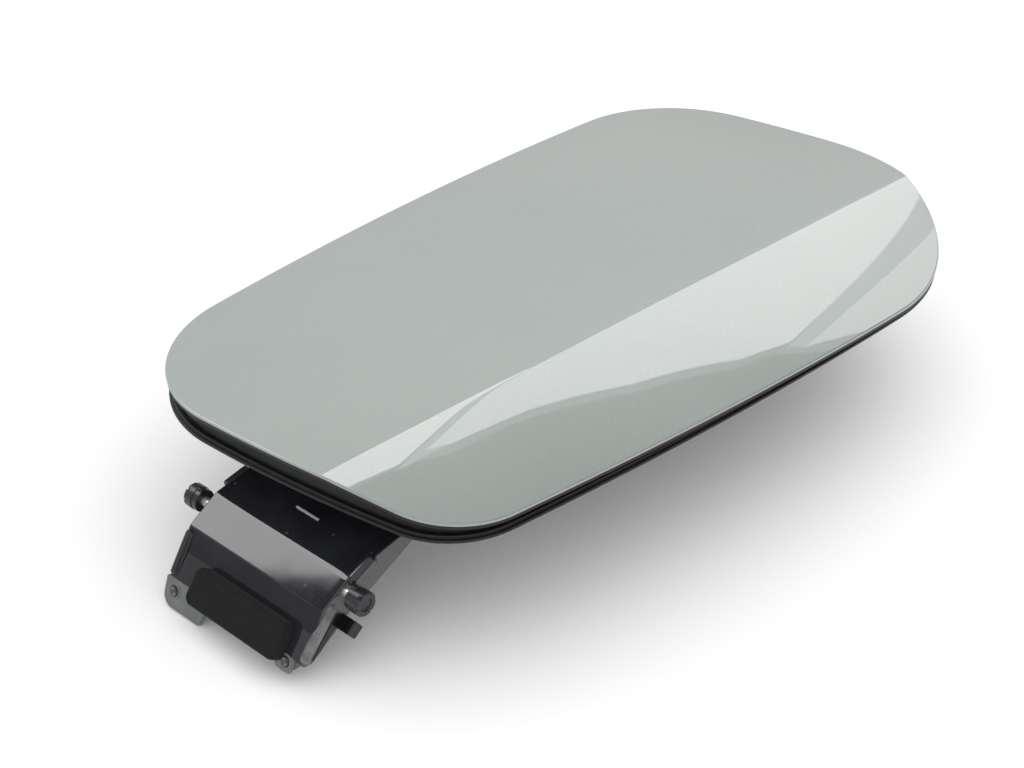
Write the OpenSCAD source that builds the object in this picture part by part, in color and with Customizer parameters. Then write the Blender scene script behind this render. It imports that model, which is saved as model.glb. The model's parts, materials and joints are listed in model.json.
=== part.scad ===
// Fuel filler flap: painted outer skin on a moulded inner frame, carried by a
// gooseneck arm whose steel axle ends in two plastic bushes.
// +X runs from the hinge to the free end, +Y along the axle, +Z out of the paint.
// The origin lies on the floor under the middle of the whole flap.

/* [Flap panel] */
// Length of the painted panel from hinge end to free end
flap_l = 227.9; // [200:0.1:260]
// Width of the painted panel
flap_w = 129.4; // [116:0.1:150]
// Height of the middle of the painted face above the floor
flap_h = 52; // [50:0.5:60]
// Corner radius, free end, creased side
free_low_r = 60.5; // [45:0.5:63]
// Corner radius, free end, plain side
free_up_r = 37.5; // [26:0.5:44]
// Corner radius, hinge end, plain side
hinge_up_r = 36; // [26:0.5:42]
// Corner radius, hinge end, creased side
hinge_low_r = 24.7; // [16:0.1:36]
// How far the creased free corner is set in from the end
free_low_set = 0.8; // [0:0.1:3]
// How far the plain free corner is set in from the end
free_up_set = 6; // [0:0.1:9]
// How far the creased hinge corner is set in from the end
hinge_low_set_x = 6.6; // [0:0.1:9]
// How far the creased hinge corner is set in from the side
hinge_low_set_y = 9.9; // [0:0.1:12]
// Bow radius of the free end
free_bow_r = 400; // [350:10:1200]
// Bow radius of the plain long side
up_bow_r = 5000; // [1500:100:6000]
// Bow radius of the hinge end
hinge_bow_r = 415; // [300:5:900]
// Bow radius of the creased long side
low_bow_r = 760; // [500:10:1500]

/* [Skin] */
// Thickness of the skin sheet
skin_t = 1; // [0.8:0.1:1.2]
// Radius of the rolled edge
edge_r = 1.2; // [0.9:0.1:1.6]
// Depth of the turned-down edge flange
flange_h = 1.8; // [1.7:0.1:2.4]
// Radius of the crown of the face
crown_r = 1430; // [1200:10:2500]
// Distance of the crease from the long axis at mid length
crease_mid = 23.7; // [14:0.1:30]
// Drift of the crease towards the side, per unit of length
crease_slope = 0.062; // [0:0.002:0.08]
// Curvature of the crease line in plan, per mm
crease_bow = 0.00033; // [0:0.00001:0.0005]
// Kink across the crease at the hinge end, in degrees
kink_hinge = 1.7; // [0.5:0.1:3]
// Kink across the crease at the free end, in degrees
kink_free = 10.6; // [6:0.1:10.8]
// Extra roll of the lower facet, per mm
facet_roll = 0.0015; // [0:0.0001:0.0018]
// How far the crease stands proud of the crown at the free end
ridge_rise = 1.6; // [0:0.1:2]
// How far below the crease this rise fades out
ridge_low = 45; // [30:1:60]
// How far above the crease this rise fades out
ridge_high = 75; // [60:1:90]

/* [Inner frame] */
// Depth of the flat frame base below the middle of the painted face
frame_drop = 11; // [10.9:0.1:12]
// Radius of the rim's lower edge, which arches along the flap
rim_arch_r = 1965; // [1500:5:4000]
// Distance of the arch's highest place from the flap's middle, towards the hinge
rim_arch_x = 20; // [0:1:40]
// Thickness of the frame's base
base_t = 2; // [1.6:0.1:2.1]
// Thickness of the frame's upright rim
rim_t = 2; // [1.6:0.1:2.6]
// Air between the skin's edge flange and the rim
rim_gap = 0.25; // [0.2:0.05:0.4]
// Thickness of the bond bead between rim and skin
bead_t = 0.8; // [0.5:0.1:1]
// Height of the stiffening ribs under the base
rib_h = 2.6; // [1.5:0.1:3]
// Thickness of the stiffening ribs
rib_t = 1.8; // [1.4:0.1:2.4]
// Distance between the cross ribs
rib_pitch = 25; // [20:1:30]
// Distance of the long ribs from the axis
rib_y = 33; // [29:0.5:38]

/* [Edge seal] */
// How far the seal's lip stands inside the skin's edge
seal_in = 0.4; // [0.3:0.1:0.8]
// Height of the lower lip
lip_h = 1; // [0.7:0.1:1]
// Height of the seal above the lip
lip_step = 0.8; // [0.5:0.1:1]

/* [Rubber stops] */
// Diameter of a rubber stop
stop_d = 11; // [9:0.5:13]
// Height of a rubber stop
stop_h = 6; // [4:0.5:8]
// Diameter of a stop's stem
stem_d = 5; // [4:0.5:6]

/* [Hinge axle] */
// How far the axle lies outside the panel's hinge end
axle_out = 0.9; // [0:0.1:3]
// Depth of the axle below the middle of the painted face
axle_drop = 30.4; // [29.6:0.1:32]
// Diameter of the axle
axle_d = 2.6; // [2.4:0.1:2.8]
// Radial clearance of the axle in the arm
axle_gap = 0.05; // [0.02:0.01:0.08]
// Diameter of an end bush
bush_d = 6.6; // [6:0.1:7]
// Length of an end bush
bush_l = 4.7; // [4:0.1:5.5]
// Bare length of axle between arm and bush
bare_l = 2.7; // [1.9:0.1:3.2]

/* [Gooseneck arm] */
// Width of the arm
arm_w = 50; // [44:0.5:56]
// Wall of the arm
arm_t = 2.6; // [2.2:0.1:2.8]
// Thickness of the arm's side walls
cheek_t = 2.4; // [2:0.1:3]
// Radius of the rolled bead beside the front face
roll_r = 1.6; // [1.2:0.1:1.7]
// Length of the arm's foot on the frame
foot_l = 32; // [28:0.5:36]
// Distance between the foot's screws along the flap
foot_pitch_x = 19; // [16:0.5:20]
// Distance between the foot's screws across the flap
foot_pitch_y = 32; // [28:0.5:36]

/* [Foam pad] */
// Width of the foam pad
pad_w = 34.1; // [30:0.1:36]
// Sideways place of the foam pad's middle
pad_y = -2; // [-4:0.1:0]
// Thickness of the foam pad
pad_t = 3.2; // [2:0.1:4]
// Length of the foam pad down the front face
pad_l = 10.2; // [8:0.1:10.4]
// Corner radius of the foam pad
pad_r = 2.4; // [1:0.1:4]
// Thickness of the plate below the pad
plate_t = 1.1; // [0.9:0.1:1.4]
// Depth of the plate's lower edge below the axle
plate_drop = 21.6; // [20.5:0.1:26]

/* [Fasteners] */
// Thread diameter of the screws
screw_d = 4; // [3.5:0.1:4.5]
// Head diameter of the screws
head_d = 8.4; // [7.5:0.1:9]
// Head height of the screws
head_h = 2.4; // [2:0.1:2.6]
// Outer diameter of the brass inserts
insert_d = 5.8; // [5.4:0.1:6.4]
// Length of the brass inserts
insert_l = 5.4; // [4:0.1:5.6]
// Radial clearance of screws and stems in their holes
fit_gap = 0.1; // [0.05:0.01:0.15]

/* [Latch tower] */
// Distance of the latch tower from the free end
latch_in = 24; // [22:0.5:30]
// Width of the tower at its foot on the frame
latch_w = 24; // [20:0.5:28]
// Width of the tower at its tip
latch_tip_w = 16; // [14:0.5:18]
// Thickness of the tower along the flap
latch_t = 9; // [7:0.5:12]
// Width of the eye for the latch
eye_w = 8.6; // [7:0.1:10]
// Height of the eye for the latch
eye_h = 9; // [7:0.5:12]
// Height of the bar below the eye
bar_h = 3.4; // [2.6:0.1:5]

/* [Stop peg] */
// Side of the square peg
peg_w = 3.8; // [3.4:0.1:4.4]
// How far the peg stands out of the arm
peg_l = 4.6; // [3.6:0.1:6]

/* [Hidden] */
eps = 0.01;
round_fn = 48;

// Lowest and highest x of the whole flap, which set the origin midway between them.
pad_reach = 20.15;
panel_x = (axle_out + pad_reach) / 2;
hinge_x = -flap_l / 2 - axle_out;
hinge_z = -axle_drop;

// Plan outline: four corner circles joined by four bowed sides, all tangent.
corners = [
    [flap_l / 2 - free_low_set - free_low_r, -flap_w / 2 + free_low_r, free_low_r],
    [flap_l / 2 - free_up_set - free_up_r, flap_w / 2 - free_up_r, free_up_r],
    [-flap_l / 2 + hinge_up_r, flap_w / 2 - hinge_up_r, hinge_up_r],
    [-flap_l / 2 + hinge_low_set_x + hinge_low_r,
     -flap_w / 2 + hinge_low_set_y + hinge_low_r, hinge_low_r]
];
bows = [free_bow_r, up_bow_r, hinge_bow_r, low_bow_r];
side_steps = 12;
corner_steps = 12;

function at2(p) = [p[0], p[1]];
function turn(v) = [-v[1], v[0]];
function unit(v) = v / norm(v);
function heading(v) = atan2(v[1], v[0]);
function wrap(a, from) = a < from ? a + 360 : a;

// Centre of the arc of radius r that touches circles a and b from outside the flap.
function bow_centre(a, b, r) =
    let (d = at2(b) - at2(a), l = norm(d), ra = r - a[2], rb = r - b[2],
         along = (ra * ra - rb * rb + l * l) / (2 * l))
    at2(a) + unit(d) * along + turn(unit(d)) * sqrt(ra * ra - along * along);

function arc(c, r, a0, a1, steps) =
    [for (k = [0:steps - 1]) let (a = a0 + (a1 - a0) * k / steps) c + r * [cos(a), sin(a)]];

bow_centres = [for (i = [0:3]) bow_centre(corners[i], corners[(i + 1) % 4], bows[i])];

// Points of the outline, set in by a distance, anticlockwise from the free end.
function outline(inset) = [
    for (i = [0:3])
        let (j = (i + 1) % 4, s = bow_centres[i], t = bow_centres[j],
             a0 = heading(at2(corners[i]) - s),
             a1 = wrap(heading(at2(corners[j]) - s), a0),
             a2 = wrap(heading(at2(corners[j]) - t), a1 - 1))
        each concat(arc(s, bows[i] - inset, a0, a1, side_steps),
                    arc(at2(corners[j]), corners[j][2] - inset, a1, a2, corner_steps))
];

// Height of the painted face: a crown, with a facet that falls away past the crease.
function crease_y(x) = -crease_mid - crease_slope * x + crease_bow * x * x;
function along_share(x) = min(1, max(0, x / flap_l + 0.5));
function kink(x) = tan(kink_hinge) + (tan(kink_free) - tan(kink_hinge)) * along_share(x);
function facet_fall(x, w) = w * kink(x) + facet_roll * w * w / 2;
function fade(d, reach) = pow(max(0, 1 - abs(d) / reach), 2);
function ridge(x, d) = ridge_rise * pow(along_share(x), 2) * fade(d, d < 0 ? ridge_low : ridge_high);
function skin_z(x, y) =
    let (d = y - crease_y(x))
    ridge(x, d) - (x * x + y * y) / (2 * crown_r) - facet_fall(x, max(0, -d));

// The outline is cut where it meets the crease, into a low and a high chain that
// both run from the hinge end to the free end, each with the same number of steps.
chain_steps = 50;
low_rows = 4;
high_rows = 7;
rows = low_rows + high_rows;
ring_n = 2 * chain_steps;

function side_of(p) = p[1] - crease_y(p[0]);
function crossing(p, i) =
    let (j = (i + 1) % len(p), a = side_of(p[i]), b = side_of(p[j]))
    p[i] + (p[j] - p[i]) * a / (a - b);
function lengths(p) =
    [for (i = 0, s = 0; i < len(p); s = s + (i + 1 < len(p) ? norm(p[i + 1] - p[i]) : 0), i = i + 1) s];
function resample(p, steps) =
    let (s = lengths(p), full = s[len(s) - 1],
         xs = [for (i = [0:len(p) - 1]) [s[i], p[i][0]]],
         ys = [for (i = [0:len(p) - 1]) [s[i], p[i][1]]])
    [for (k = [0:steps]) [lookup(full * k / steps, xs), lookup(full * k / steps, ys)]];
function backwards(p) = [for (i = [len(p) - 1:-1:0]) p[i]];

function chains(inset) =
    let (p = outline(inset), n = len(p),
         h = [for (i = [0:n - 1]) if (side_of(p[i]) > 0 && side_of(p[(i + 1) % n]) <= 0) i][0],
         e = [for (i = [0:n - 1]) if (side_of(p[i]) <= 0 && side_of(p[(i + 1) % n]) > 0) i][0],
         start = crossing(p, h), end = crossing(p, e),
         low = concat([start], [for (i = [h + 1:e]) p[i]], [end]),
         high = concat([end], [for (i = [e + 1:1:n - 1]) p[i]], [for (i = [0:h]) p[i]], [start]))
    [resample(low, chain_steps), backwards(resample(high, chain_steps))];

function as_ring(c) =
    concat(c[0], [for (i = [chain_steps - 1:-1:1]) c[1][i]]);
function lift(ring, drop) = [for (p = ring) [p[0], p[1], skin_z(p[0], p[1]) - drop]];

// Place on a column from low to high chain where it meets the crease.
function meet(a, b, t, left) =
    left == 0 ? t : meet(a, b, (crease_y(a[0] + (b[0] - a[0]) * t) - a[1]) / (b[1] - a[1]), left - 1);
function column(a, b, drop) =
    let (t = meet(a, b, 0.3, 5))
    [for (j = [1:rows - 1])
        let (u = j <= low_rows ? t * j / low_rows : t + (1 - t) * (j - low_rows) / high_rows,
             p = a + (b - a) * u)
        [p[0], p[1], skin_z(p[0], p[1]) - drop]];
function cap_points(c, drop) =
    [for (i = [1:chain_steps - 1]) each column(c[0][i], c[1][i], drop)];
function cap_index(i, j, ring0, inner0) =
    i == 0 ? ring0
    : i == chain_steps ? ring0 + chain_steps
    : j == 0 ? ring0 + i
    : j == rows ? ring0 + ring_n - i
    : inner0 + (i - 1) * (rows - 1) + j - 1;
function cap_faces(ring0, inner0, up) = [
    for (i = [0:chain_steps - 1], j = [0:rows - 1])
        let (a = cap_index(i, j, ring0, inner0), b = cap_index(i + 1, j, ring0, inner0),
             c = cap_index(i + 1, j + 1, ring0, inner0), d = cap_index(i, j + 1, ring0, inner0))
        each concat(a == d ? [] : [up ? [a, d, c] : [a, c, d]],
                    b == c ? [] : [up ? [a, c, b] : [a, b, c]])
];
// Strip between two rings of n points each, the first one outside or above.
function strip_faces(first, second, n) = [
    for (k = [0:n - 1])
        let (m = (k + 1) % n)
        each [[first + k, first + m, second + m], [first + k, second + m, second + k]]
];

// Closed loop of a small section: each corner is an inset and a height function.
module skin_loop(section) {
    n = len(section);
    points = [for (s = section) each [for (p = as_ring(chains(s[0]))) [p[0], p[1], s[1](p[0], p[1])]]];
    polyhedron(points = points,
        faces = [for (k = [0:n - 1]) each strip_faces(k * ring_n, ((k + 1) % n) * ring_n, ring_n)]);
}

module place() {
    translate([panel_x, 0, flap_h]) children();
}

module plan(inset, z0, z1) {
    translate([0, 0, z0]) linear_extrude(z1 - z0) polygon(outline(inset));
}

module plan_ring(outer, inner, z0, z1) {
    translate([0, 0, z0]) linear_extrude(z1 - z0) difference() {
        polygon(outline(outer));
        polygon(outline(inner));
    }
}

// Side view [x, z] pushed out along the axle, from y0 to y1.
module profile(points, y0, y1) {
    translate([0, y1, 0]) rotate([90, 0, 0]) linear_extrude(y1 - y0) polygon(points);
}

module rod(r, l) {
    rotate([90, 0, 0]) cylinder(r = r, h = l, center = true, $fn = round_fn);
}

// Corners of a closed path rounded to their own radii.
function fillet(p, r, steps = 6) = [
    for (i = [0:len(p) - 1])
        let (b = p[i], u = unit(p[(i + len(p) - 1) % len(p)] - b), v = unit(p[(i + 1) % len(p)] - b),
             half = acos(u * v) / 2, reach = r[i] / tan(half),
             c = b + unit(u + v) * r[i] / sin(half), e0 = b + u * reach - c, e1 = b + v * reach - c)
        each (r[i] == 0 ? [b] : [for (k = [0:steps]) c + r[i] * unit(e0 * (1 - k / steps) + e1 * k / steps)])
];
// A path moved sideways by t, with mitred corners.
function side_step(p, t) = [
    for (i = [0:len(p) - 1])
        let (n0 = turn(unit(p[max(1, i)] - p[max(1, i) - 1])),
             last = len(p) - 1, k = min(i + 1, last), n1 = turn(unit(p[k] - p[k - 1])))
        p[i] + t * (n0 + n1) / (1 + n0 * n1)
];

module outer_skin() {
    roll = [for (a = [0:30:90]) [edge_r * (1 - sin(a)), edge_r * (1 - cos(a))]];
    rings = concat(roll, [[0, flange_h], [skin_t, flange_h], [skin_t, edge_r + skin_t / 4],
                          [skin_t + edge_r / 2, skin_t]]);
    last = len(rings) - 1;
    top = chains(rings[0][0]);
    under = chains(rings[last][0]);
    ring_points = [for (s = rings) each lift(as_ring(chains(s[0])), s[1])];
    top_inner = len(rings) * ring_n;
    under_inner = top_inner + (chain_steps - 1) * (rows - 1);
    color([0.68, 0.71, 0.69]) place() polyhedron(
        points = concat(ring_points, cap_points(top, 0), cap_points(under, skin_t)),
        faces = concat(cap_faces(0, top_inner, true),
                       [for (k = [0:last - 1]) each strip_faces(k * ring_n, (k + 1) * ring_n, ring_n)],
                       cap_faces(last * ring_n, under_inner, false)));
}

// The rim stands just inside the skin's flange, and the bead lies on the rim.
rim_out = skin_t + rim_gap + 1.1;
rim_in = rim_out + rim_t;
base_in = 8.4;
base_top = -frame_drop + base_t;
under_skin = function(x, y) skin_z(x, y) - skin_t;
rim_top = function(x, y) skin_z(x, y) - skin_t - bead_t;
lip_clear = 0.3;
arch = function(x) -frame_drop - pow(min(95, abs(x + rim_arch_x)), 2) / (2 * rim_arch_r);
rim_low = function(x, y) min(arch(x), skin_z(x, y) - flange_h - lip_h - lip_clear);
seal_mid = function(x, y) rim_low(x, y) + lip_h;
seal_top = function(x, y) rim_low(x, y) + lip_h + lip_step;
web_top = function(x, y) min(rim_top(x, y) - 0.1, base_top + 0.2);
web_low = function(x, y) rim_low(x, y) + 0.2;

module bond_bead() {
    lap = 0.2;
    film = 0.05;
    bead_top = function(x, y) under_skin(x, y) - film;
    bead_low = function(x, y) rim_top(x, y) + film;
    color([0.16, 0.16, 0.17]) place() skin_loop([
        [rim_out + lap, bead_top],
        [rim_out + lap, bead_low],
        [rim_in - lap, bead_low],
        [rim_in - lap, bead_top]
    ]);
}

// Screws of the arm's foot, and of the latch tower, in the panel's frame.
arm_foot_in = hinge_x + 76;
latch_x = flap_l / 2 - latch_in;

// Two damping pads share the room between the arm's foot and the latch tower.
damper_lead = 4.85;
damper_gap = 18;
damper_tail = 25.95;
damper_l = (latch_x - arm_foot_in - damper_lead - damper_gap - damper_tail) / 2;
damper_w = 28;
damper_y = 16;
damper_top = 3.3;
damper_places = [[arm_foot_in + damper_lead + damper_l / 2, damper_y],
                 [latch_x - damper_tail - damper_l / 2, damper_y]];

module damping_pads() {
    color([0.28, 0.28, 0.29]) place() for (p = damper_places)
        translate([p[0], p[1], (base_top - damper_top) / 2])
            cube([damper_l, damper_w, -damper_top - base_top], center = true);
}

foot_mid = arm_foot_in - foot_l / 2;
foot_screws = [for (sx = [-1, 1], sy = [-1, 1]) [foot_mid + sx * foot_pitch_x / 2, sy * foot_pitch_y / 2]];
latch_screw_y = latch_w / 2 + head_d / 2 + 0.8;
latch_screw_spots = [for (s = [-1, 1]) [latch_x, s * latch_screw_y]];
foot_boss_top = -3.9;
latch_boss_top = -5.2;
latch_base_t = 3;
latch_base_l = latch_t + 9;
latch_base_w = 2 * latch_screw_y + head_d + 2;
stop_spots = [[hinge_x + 30, 42], [hinge_x + 34, -38], [latch_x - 18, 42], [latch_x - 26, -38]];
seat_gap = 0.5;

module rib_box(x0, x1, y0, y1) {
    translate([x0, y0, -frame_drop - rib_h]) cube([x1 - x0, y1 - y0, rib_h + eps]);
}

module frame_ribs() {
    rib_x0 = arm_foot_in + 3;
    rib_x1 = latch_x - latch_t / 2 - 9;
    for (s = [-1, 1])
        rib_box(hinge_x + 22, rib_x1, s * rib_y - rib_t / 2, s * rib_y + rib_t / 2);
    for (x = [rib_x0:rib_pitch:rib_x1])
        rib_box(x - rib_t / 2, x + rib_t / 2, -rib_y, rib_y);
    rib_box(rib_x1 - rib_t / 2, rib_x1 + rib_t / 2, -rib_y, rib_y);
    rib_box(rib_x0, rib_x1, -rib_t / 2, rib_t / 2);
}

// Flat places cut in the ribs, under the rubber stops and the latch tower's base.
module frame_seats() {
    deep = rib_h + 1;
    for (p = stop_spots) translate([p[0], p[1], -frame_drop - deep])
        cylinder(d = stop_d + 2 * seat_gap, h = deep, $fn = round_fn);
    translate([latch_x, 0, -frame_drop - deep / 2])
        cube([latch_base_l + 2 * seat_gap, latch_base_w + 2 * seat_gap, deep], center = true);
}

module inner_frame() {
    grip = 1;
    color([0.09, 0.09, 0.1]) place() difference() {
        union() {
            plan(base_in, -frame_drop, base_top);
            skin_loop([
                [rim_out, rim_top],
                [rim_out, rim_low],
                [rim_in, web_low],
                [base_in + grip, function(x, y) -frame_drop + 0.4],
                [base_in + grip, function(x, y) base_top - 0.4],
                [rim_in + 0.6, web_top],
                [rim_in, rim_top]
            ]);
            plan_ring(base_in + 4, base_in + 4 + rib_t, -frame_drop - rib_h / 2, -frame_drop + eps);
            frame_ribs();
            for (p = foot_screws) translate([p[0], p[1], -frame_drop])
                cylinder(d = insert_d + 3.4, h = frame_drop + foot_boss_top, $fn = round_fn);
            for (p = latch_screw_spots) translate([p[0], p[1], -frame_drop])
                cylinder(d = screw_d + 3.6, h = frame_drop + latch_boss_top, $fn = round_fn);
        }
        for (p = foot_screws) translate([p[0], p[1], -frame_drop - eps])
            cylinder(d = insert_d, h = insert_l + 1, $fn = round_fn);
        for (p = latch_screw_spots) translate([p[0], p[1], -frame_drop - eps])
            cylinder(d = screw_d + 2 * fit_gap, h = latch_boss_top + frame_drop - 0.8, $fn = round_fn);
        for (p = stop_spots) translate([p[0], p[1], -frame_drop - eps])
            cylinder(d = stem_d + 2 * fit_gap, h = base_t + 2 * eps, $fn = round_fn);
        frame_seats();
    }
}

module edge_seal() {
    step_in = skin_t + rim_gap;
    color([0.05, 0.05, 0.055]) place() skin_loop([
        [seal_in, seal_mid],
        [seal_in, rim_low],
        [rim_out, rim_low],
        [rim_out, seal_top],
        [step_in, seal_top],
        [step_in, seal_mid]
    ]);
}

module rubber_stops() {
    cap = 1.4;
    color([0.06, 0.06, 0.06]) place() for (p = stop_spots) translate([p[0], p[1], 0]) {
        translate([0, 0, -frame_drop - stop_h]) cylinder(d1 = stop_d - 2, d2 = stop_d, h = stop_h, $fn = round_fn);
        translate([0, 0, -frame_drop - eps]) cylinder(d = stem_d, h = base_t + cap, $fn = round_fn);
        translate([0, 0, base_top + fit_gap]) cylinder(d = stem_d + 1.4, h = cap, $fn = round_fn);
    }
}

module thread_inserts() {
    color([0.75, 0.6, 0.3]) place() for (p = foot_screws) translate([p[0], p[1], -frame_drop])
        difference() {
            cylinder(d = insert_d, h = insert_l, $fn = round_fn);
            translate([0, 0, -eps]) cylinder(d = screw_d + 2 * fit_gap, h = insert_l + 2 * eps, $fn = round_fn);
        }
}

// Side view of the arm, as [x, z] from the panel's middle. The outer line runs from
// the foot, down the leg, along the top plate and over the hood to the front face.
foot_out = arm_foot_in - foot_l;
arm_line = [
    [arm_foot_in, -frame_drop],
    [foot_out, -frame_drop],
    [hinge_x + 27, hinge_z + 8.2],
    [hinge_x + 1.4, hinge_z + 3.5],
    [hinge_x - 7.4, hinge_z - 1.9],
    [hinge_x - 10.6, hinge_z - 7.5],
    [hinge_x - 15.2, hinge_z - 13.9]
];
arm_inner = side_step(arm_line, arm_t);
arm_bends = [0, 3, 6, 2.6, 0.9, 4, 0];
arm_inner_bends = [0, 5, 3.4, 0.8, 0.4, 6, 0];
// Lower edge of the side walls, from the leg to the front face.
wall_low = [
    [foot_out + 2, -frame_drop - arm_t],
    [hinge_x + 23, hinge_z + 3.1],
    [hinge_x + 6.4, hinge_z - 4.9],
    [hinge_x + 0.6, hinge_z - 7.4],
    [hinge_x - 11.6, hinge_z - 15.6],
    [hinge_x - 14.2, hinge_z - 15.4]
];
peg_spot = [hinge_x - 1.4, hinge_z - 8.7];
peg_turn = 52;
// The plate below the pad hangs from two stakes under the front face.
plate_top = [hinge_x - 15.15, hinge_z - 13.9];
plate_low = [hinge_x - 17.8, hinge_z - plate_drop];
stakes = [[22, 2.5, hinge_z - 16.9], [-19.8, 2.2, hinge_z - 15.6]];
stake_d = 2.2;

plate_slant = atan2(plate_top[0] - plate_low[0], plate_top[1] - plate_low[1]);

function mix(a, b, t) = a + (b - a) * t;
function plate_at(z) = mix(plate_top[0], plate_low[0], (plate_top[1] - z) / (plate_top[1] - plate_low[1]));

module arm_walls() {
    wall = concat([for (i = [1:6]) arm_line[i]], backwards(wall_low));
    wall_r = [0, 6, 2.6, 0.9, 4, 0, 1.2, 1.2, 3, 6, 8, 0];
    for (s = [-1, 1]) {
        y = s * (arm_w - cheek_t) / 2;
        profile(fillet(wall, wall_r), y - cheek_t / 2, y + cheek_t / 2);
    }
}

// Rod with round ends, from one [x, z] place to another.
module bead(a, b, y, r) {
    run = b - a;
    cap = [for (t = [0:15:90]) t];
    half = concat([for (t = cap) [r * sin(t), -r * cos(t)]],
                  [for (t = cap) [r * cos(t), norm(run) + r * sin(t)]]);
    translate([a[0], y, a[1]]) rotate([0, 90 - atan2(run[1], run[0]), 0])
        rotate_extrude($fn = round_fn) polygon(half);
}

// Rolled beads: one along the top plate in line with the axle, one down each side
// of the front face. The one on the near side stands outside the side wall.
module arm_beads() {
    side = arm_w / 2;
    bead([hinge_x + 8.4, hinge_z + 4.7], [hinge_x + 2.6, hinge_z + 2.2], -side, roll_r);
    bead([hinge_x - 2.9, hinge_z - 2.3], [hinge_x - 13.4, hinge_z - 13.2], -side - roll_r / 2, roll_r);
    bead(mix(arm_line[4], arm_line[5], 0.3), mix(arm_line[5], arm_line[6], 0.75), side - roll_r * 0.7, roll_r * 0.7);
}

// A stake's own frame: on the plate's back face, pointing out through the plate.
module at_stake(p) {
    translate([plate_at(p[2]) + plate_t, p[0], p[2]]) rotate([0, plate_slant - 90, 0]) children();
}

// Ears below the front face that carry the pad's plate on two heat stakes.
module arm_ears() {
    for (p = stakes) {
        ear_low = p[2] - 1.8;
        ear_top = plate_top[1] + 2.6;
        ear = [[plate_at(ear_top) + plate_t, ear_top],
               [plate_at(ear_low) + plate_t, ear_low],
               [plate_at(ear_low) + plate_t + 2.4, ear_low],
               [plate_at(ear_top) + plate_t + 4, ear_top]];
        profile(ear, p[0] - p[1], p[0] + p[1]);
        at_stake(p) {
            translate([0, 0, -1]) cylinder(d = stake_d, h = plate_t + 1.3, $fn = round_fn);
            translate([0, 0, plate_t]) cylinder(d1 = 2.8, d2 = 2, h = 0.5, $fn = round_fn);
        }
    }
}

// Everything in front of the plate's back face is cut off the arm's lower end.
module plate_seat() {
    top = plate_top[1] + fit_gap;
    low = plate_low[1];
    profile([[plate_at(top) + plate_t, top], [plate_at(low) + plate_t, low],
             [plate_at(low) - 4, low], [plate_at(top) - 4, top]], -22.2, arm_w / 2 + 1);
}

module top_rib() {
    rib_mid = mix(arm_line[2], arm_line[3], 0.66);
    run = arm_line[3] - arm_line[2];
    translate([rib_mid[0], -0.6, rib_mid[1]]) rotate([0, atan2(-run[1], run[0]), 0])
        cube([0.9, 8, 1], center = true);
}

// Thin lip along the top plate's far side, with its notch near the panel.
module side_lip() {
    lip = [for (i = [0:1]) mix(arm_line[2], arm_line[3], [0.28, 0.86][i])];
    notch = mix(lip[0], lip[1], 0.42);
    difference() {
        profile(concat(lip, backwards(side_step(lip, 1))), arm_w / 2 - eps, arm_w / 2 + 1.6);
        translate([notch[0], arm_w / 2 + 1.3, notch[1]]) cube([2.2, 1.4, 4], center = true);
    }
}

module hinge_arm() {
    shell = concat(arm_line, backwards(arm_inner));
    shell_r = concat(arm_bends, backwards(arm_inner_bends));
    color([0.13, 0.14, 0.16]) place() difference() {
        union() {
            difference() {
                union() {
                    profile(fillet(shell, shell_r), -arm_w / 2, arm_w / 2);
                    arm_walls();
                    arm_beads();
                }
                plate_seat();
            }
            arm_ears();
            top_rib();
            side_lip();
            translate([hinge_x, 0, hinge_z]) rod(axle_d / 2 + 0.8, arm_w);
            translate([peg_spot[0], -(arm_w - cheek_t) / 2, peg_spot[1]]) rod(2.4, cheek_t);
        }
        translate([hinge_x, 0, hinge_z]) rod(axle_d / 2 + axle_gap, arm_w + 20);
        for (p = foot_screws) translate([p[0], p[1], -frame_drop - arm_t - 1])
            cylinder(d = screw_d + 2 * fit_gap, h = arm_t + 2, $fn = round_fn);
        translate([peg_spot[0], -arm_w / 2 + cheek_t / 2, peg_spot[1]]) rod(screw_d / 4 + fit_gap / 2, cheek_t * 3);
    }
}

module pan_screw(shank) {
    difference() {
        union() {
            translate([0, 0, -head_h]) cylinder(d1 = head_d - 1.6, d2 = head_d, h = head_h, $fn = round_fn);
            translate([0, 0, -eps]) cylinder(d = screw_d, h = shank, $fn = round_fn);
        }
        translate([0, 0, -head_h - eps]) cylinder(d = screw_d * 0.7, h = head_h * 0.55, $fn = 6);
    }
}

module arm_screws() {
    color([0.7, 0.7, 0.72]) place() for (p = foot_screws)
        translate([p[0], p[1], -frame_drop - arm_t]) pan_screw(arm_t + insert_l - 0.4);
}

bush_in = arm_w / 2 + bare_l;
bush_bore = axle_d / 2 + 0.01;

module hinge_axle() {
    color([0.8, 0.8, 0.82]) place() translate([hinge_x, 0, hinge_z])
        rod(axle_d / 2, 2 * (bush_in + bush_l - 0.8));
}

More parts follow.
